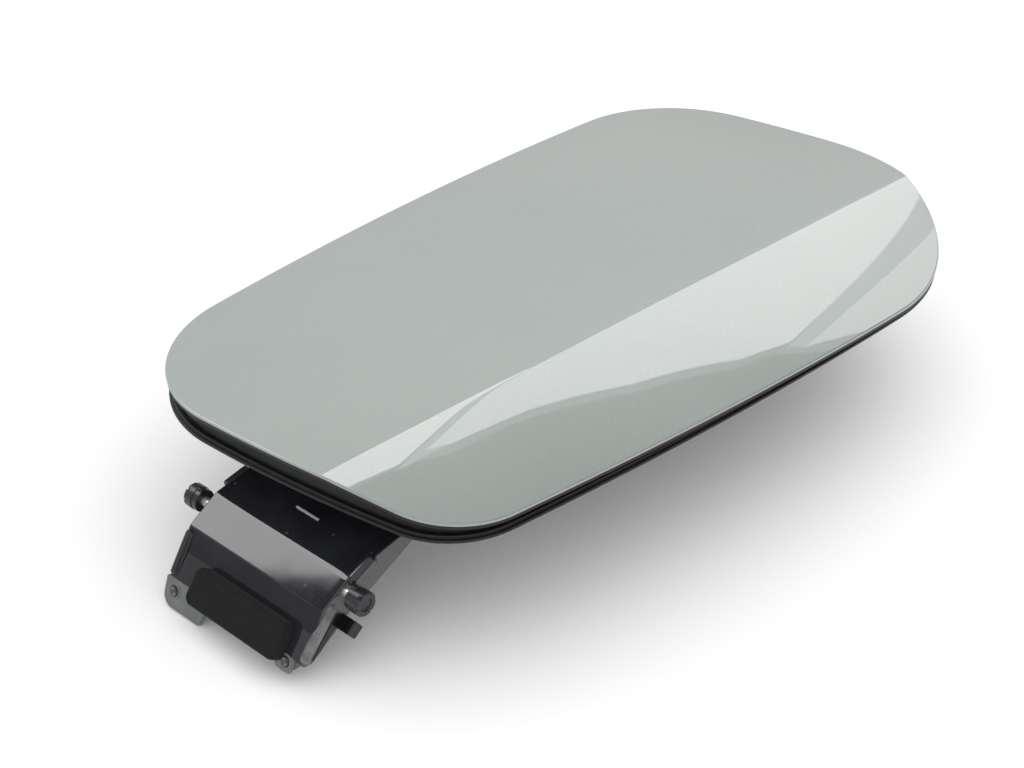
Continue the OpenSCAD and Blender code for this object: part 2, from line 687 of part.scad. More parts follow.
// One end bush: a journal with a notched, chamfered end and a key on its slimmer collar.
module bush(s) {
    chamfer = 0.5;
    key_w = 1.6;
    key_l = 1.8;
    key_proud = 0.5;
    collar_d = bush_d - 0.4;
    color([0.17, 0.18, 0.2]) place() translate([hinge_x, 0, hinge_z]) rotate([s * -90, 0, 0]) difference() {
        union() {
            translate([0, 0, bush_in]) cylinder(d = collar_d, h = key_l + eps, $fn = round_fn);
            translate([0, 0, bush_in + key_l]) cylinder(d = bush_d, h = bush_l - key_l - chamfer, $fn = round_fn);
            translate([0, 0, bush_in + bush_l - chamfer - eps])
                cylinder(d1 = bush_d, d2 = bush_d - 2 * chamfer, h = chamfer + eps, $fn = round_fn);
            translate([0, s * -(bush_d / 2 - key_w / 2 + key_proud), bush_in + key_l / 2])
                cube([key_w, key_w, key_l], center = true);
        }
        translate([0, 0, bush_in - 2]) cylinder(r = bush_bore, h = bush_l + 1.2, $fn = round_fn);
        for (a = [0:60:300]) rotate([0, 0, a]) translate([bush_d / 2, 0, bush_in + bush_l - 0.7])
            cylinder(d = 1, h = 2, $fn = 16);
    }
}

module bush_left() {
    bush(1);
}

module bush_right() {
    bush(-1);
}

// The pad is glued to the lower leg of the front face.
face_run = unit(arm_line[6] - arm_line[5]);
pad_top = arm_line[5] + face_run * 0.2;

module foam_pad() {
    glue = 0.02;
    half = pad_w / 2;
    front = [[-pad_l, -half], [0, -half], [0, half], [-pad_l, half]];
    color([0.15, 0.16, 0.15]) place() translate([pad_top[0], pad_y, pad_top[1]])
        rotate([0, atan2(face_run[1], -face_run[0]), 0]) translate([0, 0, glue])
            linear_extrude(pad_t) polygon(fillet(front, [pad_r, pad_r, pad_r, pad_r], 6));
}

// Thin plate below the pad: an L-shaped tab on the left, a small tab on the right.
module pad_plate() {
    left_y = arm_w / 2 + 0.8;
    right_y = -arm_w / 2 + 3;
    left_w = 14.2;
    right_w = 5.2;
    side_slant = 2;
    mid_low = 2.2;
    top = -plate_t * tan(plate_slant) - 2 * fit_gap;
    h = (plate_top[1] - plate_low[1]) / cos(plate_slant);
    h_right = h - 3.4;
    front = fillet([[right_y, top], [right_y, -h_right], [right_y + right_w, -h_right],
                    [right_y + right_w + side_slant, -mid_low], [left_y - left_w - side_slant, -mid_low],
                    [left_y - left_w, -h], [left_y, -h], [left_y, top]],
                   [0.6, 1.2, 1.2, 0.8, 0.8, 1.2, 3.4, 0.8]);
    color([0.42, 0.44, 0.44]) place() difference() {
        translate([plate_top[0] + plate_t, 0, plate_top[1]]) rotate([0, plate_slant, 0]) rotate([90, 0, -90])
            linear_extrude(plate_t) mirror([1, 0]) polygon(front);
        for (p = stakes) at_stake(p) translate([0, 0, -1])
            cylinder(d = stake_d + 2 * fit_gap, h = plate_t + 2, $fn = round_fn);
    }
}

module stop_peg() {
    color([0.07, 0.07, 0.08]) place() translate([peg_spot[0], 0, peg_spot[1]]) rotate([0, peg_turn, 0]) {
        translate([-peg_w / 2, -arm_w / 2 - peg_l, -peg_w / 2]) cube([peg_w, peg_l, peg_w]);
        translate([0, -arm_w / 2 + cheek_t / 2, 0]) rod(screw_d / 4, cheek_t + 0.4);
    }
}

module latch_tower() {
    top = -frame_drop;
    low = -flap_h;
    shoulder = top - latch_base_t;
    eye_z = low + bar_h + eye_h / 2;
    tower = fillet([[-latch_w / 2, shoulder + eps], [-latch_tip_w / 2, low + eye_h + bar_h + 4], [-latch_tip_w / 2, low],
                    [latch_tip_w / 2, low], [latch_tip_w / 2, low + eye_h + bar_h + 4], [latch_w / 2, shoulder + eps]],
                   [0, 6, 1.6, 1.6, 6, 0]);
    color([0.12, 0.12, 0.13]) place() translate([latch_x, 0, 0]) difference() {
        union() {
            translate([0, 0, shoulder + latch_base_t / 2]) cube([latch_base_l, latch_base_w, latch_base_t], center = true);
            translate([-latch_t / 2, 0, 0]) rotate([90, 0, 90]) linear_extrude(latch_t) polygon(tower);
        }
        translate([0, 0, eye_z]) cube([latch_t + 2, eye_w, eye_h], center = true);
        for (s = [-1, 1]) translate([s * latch_t / 2, 0, (shoulder + eye_z + eye_h / 2) / 2])
            cube([latch_t * 0.45, eye_w, shoulder - eye_z - eye_h / 2 - 6], center = true);
        for (s = [-1, 1]) translate([0, s * latch_screw_y, shoulder - 1])
            cylinder(d = screw_d + 2 * fit_gap, h = latch_base_t + 2, $fn = round_fn);
    }
}

module latch_screws() {
    color([0.7, 0.7, 0.72]) place() for (p = latch_screw_spots)
        translate([p[0], p[1], -frame_drop - latch_base_t]) pan_screw(latch_base_t + 4);
}

outer_skin();
bond_bead();
damping_pads();
inner_frame();
edge_seal();
rubber_stops();
thread_inserts();
hinge_arm();
arm_screws();
hinge_axle();
bush_left();
bush_right();
foam_pad();
pad_plate();
stop_peg();
latch_tower();
latch_screws();
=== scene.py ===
"""Looks of the fuel filler flap: paint, plastics, foam, steel and studio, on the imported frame."""
import json
import logging
import math
from collections.abc import Sequence
from dataclasses import dataclass, field
from enum import Enum

import bpy
import numpy as np
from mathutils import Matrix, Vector


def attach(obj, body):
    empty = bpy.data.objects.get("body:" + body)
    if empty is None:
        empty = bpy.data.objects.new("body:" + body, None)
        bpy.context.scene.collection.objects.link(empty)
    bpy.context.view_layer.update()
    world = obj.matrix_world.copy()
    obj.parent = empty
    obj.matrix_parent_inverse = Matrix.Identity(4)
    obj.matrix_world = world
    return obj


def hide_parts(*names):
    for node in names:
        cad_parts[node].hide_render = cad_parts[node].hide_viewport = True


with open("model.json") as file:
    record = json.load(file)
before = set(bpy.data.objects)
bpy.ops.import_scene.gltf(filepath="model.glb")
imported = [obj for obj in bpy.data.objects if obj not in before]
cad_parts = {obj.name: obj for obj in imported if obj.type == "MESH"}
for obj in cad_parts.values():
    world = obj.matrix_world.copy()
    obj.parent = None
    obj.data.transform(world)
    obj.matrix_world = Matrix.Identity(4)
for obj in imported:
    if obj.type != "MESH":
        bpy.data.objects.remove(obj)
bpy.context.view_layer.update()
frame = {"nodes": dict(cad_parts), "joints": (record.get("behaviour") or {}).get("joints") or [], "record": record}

MM = 0.001
log = logging.getLogger("flap")

Point = tuple[float, float]
Triple = tuple[float, float, float]
Plan = tuple[Point, ...]
Socket = bpy.types.NodeSocket

# A quarter turn, a length too short to count, and the sharpest corner that is still mitred.
QUARTER = math.pi / 2
TINY = 1e-9
SHARPEST = 0.3

# The hinge's place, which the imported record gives, ties every size below to the frame.
HINGE_X = -114.85
HINGE_Z = -30.4
AXLE_AT = (HINGE_X, 0.0, HINGE_Z)
FRAME_SHIFT = np.array(frame["joints"][0]["pos_m"]) / MM - np.array(AXLE_AT)

# The turn that lays a profile's own z axis along the axle.
ALONG_Y = np.array([[1.0, 0.0, 0.0], [0.0, 0.0, 1.0], [0.0, -1.0, 0.0]])


def hinge_at(x: float, z: float) -> Point:
    """Place in the panel's side view that lies x along and z above the axle.

    Args:
        x: Distance from the axle towards the free end, in mm.
        z: Height above the axle, in mm.

    Returns:
        The place as (x, z) in mm from the middle of the painted face.
    """
    return HINGE_X + x, HINGE_Z + z


def from_hinge(plan: Sequence[Point]) -> list[Point]:
    """The same for a row of places, each (along, up) from the axle."""
    return [hinge_at(*place) for place in plan]


def mix(a: Point, b: Point, share: float) -> Point:
    """Point between a and b at the given share of the way."""
    return a[0] + (b[0] - a[0]) * share, a[1] + (b[1] - a[1]) * share


def box_corners(left: float, low: float, right: float, high: float) -> list[Point]:
    """Corners of an upright box, anticlockwise from its low left one."""
    return [(left, low), (right, low), (right, high), (left, high)]


class Detail(Enum):
    """How finely curved surfaces are divided."""

    ROUND = 48
    CORNER = 8
    SMALL = 5
    EDGE = 4


@dataclass
class Solid:
    """Closed mesh: points in mm in the panel's frame, quads as an index array, and larger faces.

    Args:
        points: Array of n by 3 places.
        quads: Array of m by 4 point numbers.
        caps: Faces with any number of corners, as arrays of point numbers.
    """

    points: np.ndarray
    quads: np.ndarray
    caps: list[np.ndarray] = field(default_factory=list)

    def triangles(self) -> np.ndarray:
        """All faces as triangles, each one a fan from its first corner.

        Returns:
            Array of n by 3 point numbers.
        """
        parts = [self.quads[:, [0, 1, 2]], self.quads[:, [0, 2, 3]]]
        for cap in self.caps:
            fan = np.column_stack([np.full(len(cap) - 2, cap[0]), cap[1:-1], cap[2:]])
            parts.append(fan)
        return np.concatenate(parts)

    def outward(self) -> "Solid":
        """The same solid with its faces turned outwards, going by the sign of its volume.

        Returns:
            This solid, or a copy of it with every face flipped.
        """
        a, b, c = (self.points[self.triangles()[:, k]] for k in range(3))
        if np.einsum("ij,ij->i", a, np.cross(b, c)).sum() < 0:
            return Solid(self.points, self.quads[:, ::-1], [cap[::-1] for cap in self.caps])
        return self

    def moved(self, turn: np.ndarray, shift: Triple = (0.0, 0.0, 0.0)) -> "Solid":
        """The solid after a 3 by 3 turn and a shift in mm."""
        return Solid(self.points @ turn.T + np.array(shift), self.quads, self.caps)


def turn_about_y(degrees: float) -> np.ndarray:
    """Matrix of a turn about the axle's direction, right-handed, in degrees."""
    c, s = math.cos(math.radians(degrees)), math.sin(math.radians(degrees))
    return np.array([[c, 0.0, s], [0.0, 1.0, 0.0], [-s, 0.0, c]])


def grid_quads(rows: int, cols: int, wrap_rows: bool, wrap_cols: bool) -> np.ndarray:
    """Quads of a grid of points that are numbered row by row.

    Args:
        rows: Number of rows of points.
        cols: Number of points in a row.
        wrap_rows: Whether the last row joins the first.
        wrap_cols: Whether each row closes on itself.

    Returns:
        Array of quads by point number.
    """
    r = np.arange(rows if wrap_rows else rows - 1)[:, None]
    c = np.arange(cols if wrap_cols else cols - 1)[None, :]
    r1, c1 = (r + 1) % rows, (c + 1) % cols
    corners = [r * cols + c, r * cols + c1, r1 * cols + c1, r1 * cols + c]
    return np.stack(corners, axis=-1).reshape(-1, 4)


def lofted(rings: np.ndarray, wrap: bool = False) -> Solid:
    """Solid whose surface is a grid of closed rings, P(u, v) with v round the ring.

    Args:
        rings: Array of rings by points by 3.
        wrap: Whether the last ring joins the first; otherwise both ends get a cap.

    Returns:
        The closed solid, faces outwards.
    """
    n, m = rings.shape[:2]
    caps = [] if wrap else [np.arange(m), np.arange(m)[::-1] + (n - 1) * m]
    return Solid(rings.reshape(-1, 3), grid_quads(n, m, wrap, True), caps).outward()


def fillet(points: Sequence[Point], radii: Sequence[float],
           detail: Detail = Detail.EDGE) -> np.ndarray:
    """Closed outline whose corners are rounded, each by an arc tangent to its two sides.

    Args:
        points: Corners in order; a rounded one lies off the line between its neighbours.
        radii: Radius at each corner, 0 to keep it sharp.
        detail: How finely each arc is divided.

    Returns:
        Array of n by 2 places.
    """
    p = np.array(points, float)
    before, after = np.roll(p, 1, 0) - p, np.roll(p, -1, 0) - p
    parts = []
    for corner, a, b, r in zip(p, before, after, radii):
        u, v = a / np.hypot(*a), b / np.hypot(*b)
        if r == 0:
            parts.append(corner[None])
            continue
        half = math.acos(np.clip(u @ v, -1, 1)) / 2
        bisector = (u + v) / np.hypot(*(u + v))
        centre = corner + bisector * r / math.sin(half)
        start, end = (corner + w * r / math.tan(half) - centre for w in (u, v))
        share = np.linspace(0, 1, detail.value + 1)[:, None]
        arc = start * (1 - share) + end * share
        parts.append(centre + r * arc / np.linalg.norm(arc, axis=1, keepdims=True))
    return np.concatenate(parts)


def side_step(points: list[Point], t: float) -> list[Point]:
    """Open path moved to its left by t, each corner mitred as t (n0 + n1) / (1 + n0 . n1).

    Args:
        points: Places of the path in order.
        t: Distance by which it moves.

    Returns:
        The moved path.
    """
    p = np.array(points, float)
    run = np.diff(p, axis=0)
    n = np.column_stack([-run[:, 1], run[:, 0]]) / np.hypot(run[:, 0], run[:, 1])[:, None]
    n0, n1 = np.vstack([n[:1], n]), np.vstack([n, n[-1:]])
    out = p + t * (n0 + n1) / (1 + (n0 * n1).sum(1, keepdims=True))
    return [tuple(q) for q in out]


def mitres(loop: np.ndarray) -> np.ndarray:
    """Outward mitre at each point of a closed outline, so loop - r * mitre is set in by r.

    Args:
        loop: Closed outline as n by 2 places.

    Returns:
        Array of n by 2 mitres.
    """
    edge = np.roll(loop, -1, 0) - loop
    length = np.linalg.norm(edge, axis=1, keepdims=True)
    normal = np.column_stack([edge[:, 1], -edge[:, 0]]) / length
    area = (loop[:, 0] * np.roll(loop[:, 1], -1) - np.roll(loop[:, 0], -1) * loop[:, 1]).sum()
    n1 = normal * np.sign(area)
    n0 = np.roll(n1, 1, 0)
    return (n0 + n1) / np.maximum(1 + (n0 * n1).sum(1, keepdims=True), SHARPEST)


def slab(loop: np.ndarray, low: float, high: float, r_low: float = 0.0,
         r_high: float = 0.0) -> Solid:
    """Outline carried along a straight path, its two end edges rolled over a quarter circle.

    A ring at angle a of the roll is set in by r (1 - sin a) and lies r (1 - cos a) inside the end.

    Args:
        loop: Closed outline as n by 2 places, which become x and z.
        low: Lower end along y.
        high: Upper end along y.
        r_low: Edge radius at the lower end.
        r_high: Edge radius at the upper end.

    Returns:
        The closed solid.
    """
    a, b = (np.linspace(0, QUARTER, Detail.EDGE.value + 1 if r else 1) for r in (r_low, r_high))
    inset = np.concatenate([r_low * (1 - np.sin(a)), r_high * (1 - np.sin(b[::-1]))])
    y = np.concatenate([low + r_low * (1 - np.cos(a)), high - r_high * (1 - np.cos(b[::-1]))])
    flat = loop[None] - inset[:, None, None] * mitres(loop)[None]
    rings = np.stack([flat[..., 0], np.broadcast_to(y[:, None], flat.shape[:2]), flat[..., 1]], -1)
    return lofted(rings)


def turned(profile: np.ndarray, scale: np.ndarray | None = None) -> Solid:
    """Profile of (radius, height) turned about the z axis.

    Args:
        profile: Array of n by 2, from one end to the other, both near the axis.
        scale: Optional n by m factors on the radius, for flutes and notches round the axis.

    Returns:
        The closed solid.
    """
    count = Detail.ROUND.value * 2 if scale is None else scale.shape[1]
    angle = np.arange(count) * 2 * math.pi / count
    radius = profile[:, :1] * (1.0 if scale is None else scale)
    radius = np.broadcast_to(radius, (len(profile), count))
    height = np.broadcast_to(profile[:, 1:], radius.shape)
    return lofted(np.stack([radius * np.cos(angle), radius * np.sin(angle), height], -1))


def rounded_profile(corners: list[Triple], longest: float = 100.0,
                    far_in: float = -50.0) -> np.ndarray:
    """Open profile of (radius, height, fillet) corners with its inner corners rounded.

    Args:
        corners: Corners in order; no three of them in line.
        longest: Longest step of the result, so that long sides can carry notches.
        far_in: Radius past the axis at which the outline is closed while it is rounded.

    Returns:
        Array of n by 2.
    """
    path = [(c[0], c[1]) for c in corners]
    closed = fillet(path + [(far_in, (path[0][1] + path[-1][1]) / 2)],
                    [c[2] for c in corners] + [0.0], Detail.CORNER)[:-1]
    step = np.linalg.norm(np.diff(closed, axis=0), axis=1)
    parts = [np.linspace(a, b, math.ceil(d / longest) + 1)[:-1]
             for a, b, d in zip(closed, closed[1:], step) if d > TINY]
    return np.vstack(parts + [closed[-1:]])


def rod(half: float, r: float, edge_r: float, tip_r: float) -> Solid:
    """Rod about the axle.

    Args:
        half: Half of its length.
        r: Its radius.
        edge_r: Radius of its rounded end edges.
        tip_r: Radius of the small flat at the middle of each end.

    Returns:
        The rod in its place.
    """
    corners = [(tip_r, -half, 0), (r, -half, edge_r), (r, half, edge_r), (tip_r, half, 0)]
    return turned(rounded_profile(corners)).moved(ALONG_Y, AXLE_AT)


class Workshop:
    """Turns solids into scene objects that ride on the frame."""

    def piece(self, name: str, solids: list[Solid], finish: "Finish", node: str,
              sharp: float = 32.0, stands_for: bool = True) -> bpy.types.Object:
        """Makes one object of several closed solids, in place of a node of the frame.

        Args:
            name: Name of the new piece.
            solids: Its solids, in mm in the panel's frame.
            finish: Finish that dresses it.
            node: Node that it stands for, whose body it takes.
            sharp: Angle in degrees past which an edge is drawn sharp.
            stands_for: Whether it replaces the node, or only sits on it.

        Returns:
            The new object.
        """
        mesh = bpy.data.meshes.new(name)
        faces: list[list[int]] = []
        points: list[np.ndarray] = []
        start = 0
        for solid in (s.outward() for s in solids):
            faces += (solid.quads + start).tolist()
            faces += [(cap + start).tolist() for cap in solid.caps]
            points.append((solid.points + FRAME_SHIFT) * MM)
            start += len(solid.points)
        mesh.from_pydata(np.concatenate(points).tolist(), [], faces)
        mesh.polygons.foreach_set("use_smooth", np.ones(len(mesh.polygons), bool))
        mesh.set_sharp_from_angle(angle=math.radians(sharp))
        piece = bpy.data.objects.new(name, mesh)
        bpy.context.scene.collection.objects.link(piece)
        even = piece.modifiers.new("even_shading", "WEIGHTED_NORMAL")
        even.keep_sharp = True
        mesh.materials.append(finish.material())
        record = frame["record"]
        bodies = record["behaviour"]["bodies"]
        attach(piece, next(body for body, nodes in bodies.items() if node in nodes))
        if stands_for:
            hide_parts(node)
        log.info("%s: %d faces", name, len(faces))
        return piece

    def dress(self, node: str, finish: "Finish") -> None:
        """Gives a node of the frame its finish and leaves its shape alone.

        Args:
            node: Name of the node.
            finish: Finish that dresses it.
        """
        mesh = frame["nodes"][node].data
        mesh.materials.clear()
        mesh.materials.append(finish.material())
        log.info("%s: dressed in %s", node, finish.name)


def linear(hex_colour: str) -> tuple[float, float, float, float]:
    """Linear RGBA of an sRGB colour written as six hex digits.

    Args:
        hex_colour: Red, green and blue.

    Returns:
        Red, green, blue and alpha.
    """
    srgb = [int(hex_colour[i:i + 2], 16) / 255 for i in (0, 2, 4)]
    rgb = [c / 12.92 if c <= 0.04045 else ((c + 0.055) / 1.055) ** 2.4 for c in srgb]
    return rgb[0], rgb[1], rgb[2], 1.0


def add(tree: bpy.types.NodeTree, kind: str, values: dict | None = None,
        links: dict | None = None, **settings: object) -> bpy.types.Node:
    """Adds one node with its settings, socket values and links.

    Args:
        tree: Node tree.
        kind: Type of node, without the leading "ShaderNode".
        values: Socket name or number to its value.
        links: Socket name or number to the output socket that feeds it.
        **settings: Attributes of the node.

    Returns:
        The new node.
    """
    node = tree.nodes.new("ShaderNode" + kind)
    for key, value in settings.items():
        setattr(node, key, value)
    for key, value in (values or {}).items():
        node.inputs[key].default_value = value
    for key, source in (links or {}).items():
        tree.links.new(source, node.inputs[key])
    return node


def per_mm(size_mm: float) -> float:
    """Scale of a texture whose cells are that many millimetres across."""
    return 1.0 / (size_mm * MM)


@dataclass
class Graph:
    """Nodes of one material. Sizes are in mm.

    Args:
        tree: Its node tree.
        place: The object's own coordinates.
        shader: Its principled shader.
    """

    tree: bpy.types.NodeTree
    place: Socket
    shader: bpy.types.Node

    def texture(self, kind: str, size: float, place: Socket | None = None,
                **values: float) -> bpy.types.Node:
        """Texture node whose pattern is that many millimetres across.

        Args:
            kind: "Noise" or "Voronoi".
            size: Size of a patch or cell.
            place: Coordinates, unless they are the object's own.
            **values: Further inputs of the node.

        Returns:
            The node.
        """
        return add(self.tree, "Tex" + kind, {"Scale": per_mm(size), **values},
                   {"Vector": self.place if place is None else place})

    def remap(self, source: Socket, start: float, end: float, low: float = 0.0,
              high: float = 1.0) -> Socket:
        """Value that goes from low to high as the source goes from start to end."""
        spans = {"From Min": start, "From Max": end, "To Min": low, "To Max": high}
        return add(self.tree, "MapRange", spans, {"Value": source}).outputs[0]

    def join(self, kind: str, operation: str, *sources: Socket) -> Socket:
        """Result of a "Math" or "VectorMath" node on its sources."""
        return add(self.tree, kind, links=dict(enumerate(sources)), operation=operation).outputs[0]

    def blend(self, share: Socket, first: Socket | str, second: Socket | str) -> Socket:
        """Colour between two, each given by a socket or as sRGB hex.

        Args:
            share: Share of the second colour.
            first: Colour at share 0.
            second: Colour at share 1.

        Returns:
            The mixed colour.
        """
        node = add(self.tree, "Mix", links={0: share}, data_type="RGBA")
        for number, colour in ((6, first), (7, second)):
            if isinstance(colour, str):
                node.inputs[number].default_value = linear(colour)
            else:
                self.tree.links.new(colour, node.inputs[number])
        return node.outputs[2]

    def feed(self, name: str, source: Socket) -> None:
        """Links a source to an input of the shader."""
        self.tree.links.new(source, self.shader.inputs[name])

    def settle(self, values: dict[str, float | tuple[float, ...]]) -> None:
        """Sets inputs of the shader."""
        for name, value in values.items():
            self.shader.inputs[name].default_value = value

    def relief(self, height: Socket, depth: float, strength: float = 1.0,
               name: str = "Normal") -> None:
        """Bends a normal of the shader as a relief of that depth does."""
        values = {"Strength": strength, "Distance": depth * MM}
        self.feed(name, add(self.tree, "Bump", values, {"Height": height}).outputs[0])


@dataclass(frozen=True)
class Finish:
    """A surface: common name, colours and gloss. Sub-classes add what their process leaves.

    Args:
        name: Name of the material.
        colour: Main colour, sRGB hex.
        second: Colour that the main one drifts to, sRGB hex.
        roughness: Roughness of the surface.
        ior: Index of refraction.
        grain_mm: Size of the surface grain.
        grain_depth_mm: Depth of the grain.
        drift_mm: Size of the patches over which the colour drifts.
    """

    name: str
    colour: str
    second: str
    roughness: float = 0.5
    ior: float = 1.49
    grain_mm: float = 0.4
    grain_depth_mm: float = 0.01
    drift_mm: float = 12.0

    def material(self) -> bpy.types.Material:
        """The material of this name, made once.

        Returns:
            The material, with its colour and its relief.
        """
        known = bpy.data.materials.get(self.name)
        if known:
            return known
        made = bpy.data.materials.new(self.name)
        made.use_nodes = True
        tree = made.node_tree
        tree.nodes.clear()
        place = add(tree, "TexCoord").outputs["Object"]
        shader = add(tree, "BsdfPrincipled", {"Roughness": self.roughness, "IOR": self.ior})
        out = add(tree, "OutputMaterial", links={"Surface": shader.outputs[0]})
        out.is_active_output = True
        graph = Graph(tree, place, shader)
        self.colour_nodes(graph)
        self.relief_nodes(graph)
        return made

    def drift(self, graph: Graph) -> Socket:
        """Colour that wanders between the two hex values over patches of drift_mm."""
        noise = graph.texture("Noise", self.drift_mm, Detail=4.0, Roughness=0.6)
        return graph.blend(graph.remap(noise.outputs[0], 0.35, 0.65), self.colour, self.second)

    def colour_nodes(self, graph: Graph) -> None:
        """Feeds the shader's colour."""
        graph.feed("Base Color", self.drift(graph))

    def relief_nodes(self, graph: Graph) -> None:
        """Feeds the shader's normal with the grain that the process leaves."""
        grain = graph.texture("Noise", self.grain_mm, Detail=3.0)
        graph.relief(grain.outputs[0], self.grain_depth_mm)


@dataclass(frozen=True)
class MetallicPaint(Finish):
    """Basecoat with aluminium flake under clear lacquer: an even sheen, sharp coat reflections.

    Args:
        flake_mm: Size of a flake, drawn coarser than the real 0.02 mm so that it shows.
        flake_light: Darkest and lightest factor that a flake has on the colour.
        metallic: How far the basecoat acts as metal.
        coat_roughness: Roughness of the lacquer.
    """

    flake_mm: float = 0.35
    flake_light: Point = (0.965, 1.035)
    metallic: float = 0.6
    coat_roughness: float = 0.015

    def colour_nodes(self, graph: Graph) -> None:
        """Colour with a faint flake, and the lacquer's own values.

        Args:
            graph: Nodes of the material.
        """
        flake = graph.texture("Voronoi", self.flake_mm).outputs["Color"]
        value = add(graph.tree, "SeparateColor", links={0: flake}).outputs[0]
        light = graph.remap(value, 0.0, 1.0, *self.flake_light)
        graph.feed("Base Color", graph.join("VectorMath", "MULTIPLY", self.drift(graph), light))
        graph.settle({"Metallic": self.metallic, "Coat Weight": 1.0, "Coat IOR": 1.5,
                      "Coat Roughness": self.coat_roughness})

    def relief_nodes(self, graph: Graph) -> None:
        """The lacquer's orange peel bends the coat only; the basecoat below stays even."""
        peel = graph.texture("Noise", self.grain_mm, Detail=1.0)
        graph.relief(peel.outputs[0], self.grain_depth_mm, name="Coat Normal")


@dataclass(frozen=True)
class WornPlasticWithPaintedSheen(Finish):
    """Injection moulded polymer with dust specks, patches rubbed duller by handling, and a pale painted sheen.

    Args:
        speck: Colour of a dust speck, sRGB hex.
        speck_mm: Spacing of the specks.
        speck_size: Share of a cell that a speck fills.
        ragged_mm: How far a speck's edge wanders.
        rub: Roughness added where the surface is rubbed.
        rub_mm: Size of a rubbed patch.
        subsurface: Light that enters the sheet and comes out close by.
        painted_sheen: Colour painted as reflection on sideways faces and as highlight on outer edges, sRGB hex.
        side_reflection: Share of that colour on the faces that look sideways, a painted reflection.
        edge_highlight: Share of that colour on the outer edges, a painted highlight.
    """

    speck: str = "4A4B4D"
    speck_mm: float = 7.0
    speck_size: float = 0.09
    ragged_mm: float = 0.8
    rub: float = 0.12
    rub_mm: float = 9.0
    subsurface: float = 0.0
    painted_sheen: str = "9A9994"
    side_reflection: float = 0.0
    edge_highlight: float = 0.0

    def specked(self, graph: Graph) -> Socket:
        """Drifting colour with sparse, ragged specks.

        Args:
            graph: Nodes of the material.

        Returns:
            The colour.
        """
        ragged = graph.texture("Noise", self.ragged_mm * 1.5, Detail=2.0).outputs[1]
        shift = add(graph.tree, "VectorMath", {1: (self.ragged_mm * MM,) * 3}, {0: ragged},
                    operation="MULTIPLY").outputs[0]
        bent = graph.join("VectorMath", "ADD", graph.place, shift)
        distance = graph.texture("Voronoi", self.speck_mm, bent).outputs["Distance"]
        dot = graph.remap(distance, self.speck_size, self.speck_size * 0.6, 0.0, 0.75)
        return graph.blend(dot, self.drift(graph), self.speck)

    def painted_sheen_share(self, graph: Graph) -> Socket:
        """Share of the pale painted sheen: painted reflection on sideways faces, painted highlight on outer edges.

        Args:
            graph: Nodes of the material.

        Returns:
            The share, 0 to 1.
        """
        # Pale colour on faces that look sideways is a painted reflection; on outer edges, a painted highlight.
        surface = add(graph.tree, "NewGeometry").outputs
        facing = add(graph.tree, "SeparateXYZ", links={0: surface["Normal"]}).outputs[1]
        sideways = graph.join("Math", "ABSOLUTE", facing)
        side_sheen = graph.remap(sideways, 0.9, 0.99, 0.0, self.side_reflection)
        highlit = graph.remap(surface["Pointiness"], 0.52, 0.6, 0.0, self.edge_highlight)
        return graph.join("Math", "MAXIMUM", side_sheen, highlit)

    def colour_nodes(self, graph: Graph) -> None:
        """Specks under the painted sheen, and a roughness that rises in rubbed patches.

        Args:
            graph: Nodes of the material.
        """
        colour = graph.blend(self.painted_sheen_share(graph), self.specked(graph), self.painted_sheen)
        graph.feed("Base Color", colour)
        patches = graph.texture("Noise", self.rub_mm, Detail=5.0, Roughness=0.65).outputs[0]
        graph.feed("Roughness", graph.remap(patches, 0.45, 0.75, self.roughness,
                                            self.roughness + self.rub))
        graph.settle({"Subsurface Weight": self.subsurface, "Subsurface Radius": (MM, MM, MM)})


@dataclass(frozen=True)
class CellFoam(Finish):
    """Closed cell foam: matt, pitted by cut cells, each floor darkened as painted shade.

    Args:
        cell_mm: Size of a cut cell.
        cut_mm: Size of the slow unevenness that the cut leaves.
    """

    cell_mm: float = 0.4
    cut_mm: float = 2.5

    def colour_nodes(self, graph: Graph) -> None:
        """Cell floors take the second, darker colour as painted shade in the pits.

        Args:
            graph: Nodes of the material.
        """
        depth = graph.texture("Voronoi", self.cell_mm).outputs[0]
        graph.feed("Base Color", graph.blend(depth, self.second, self.colour))
        graph.settle({"Sheen Weight": 0.04, "Sheen Roughness": 0.6})

    def relief_nodes(self, graph: Graph) -> None:
        """Cells as pits over a slow unevenness of the cut.

        Args:
            graph: Nodes of the material.
        """
        pits = graph.texture("Voronoi", self.cell_mm).outputs[0]
        slow = graph.texture("Noise", self.cut_mm, Detail=2.0).outputs[0]
        graph.relief(graph.join("Math", "ADD", pits, slow), self.grain_depth_mm)


@dataclass(frozen=True)
class BareMetal(Finish):
    """Bare or plated metal with the fine scratches of grinding or turning round the axle.

    Args:
        metallic: Metal share, 1 for bare metal.
        scratch: How much longer a scratch is than it is wide.
    """

    metallic: float = 1.0
    scratch: tuple[float, float, float] = (1.0, 6.0, 1.0)

    def colour_nodes(self, graph: Graph) -> None:
        """Colour drifts with the plating's tarnish."""
        super().colour_nodes(graph)
        graph.settle({"Metallic": self.metallic})

    def relief_nodes(self, graph: Graph) -> None:
        """Scratches: noise squeezed along the axle.

        Args:
            graph: Nodes of the material.
        """
        squeezed = add(graph.tree, "Mapping", {"Scale": self.scratch}, {"Vector": graph.place})
        noise = graph.texture("Noise", self.grain_mm, squeezed.outputs[0], Detail=2.0)
        graph.relief(noise.outputs[0], self.grain_depth_mm, 0.6)


# Silver green basecoat under lacquer; the second colour is its faint cloudiness.
PAINT = MetallicPaint("lacquered_silver_green_basecoat", "99A09C", "969D99", 0.4, 1.5, 1.6,
                      0.0003, 60.0)
# Black polypropylene frame, straight from a grained mould.
FRAME_PLASTIC = WornPlasticWithPaintedSheen("moulded_black_polypropylene", "0F1012", "151619", 0.55, 1.38, 0.5,
                            0.02)
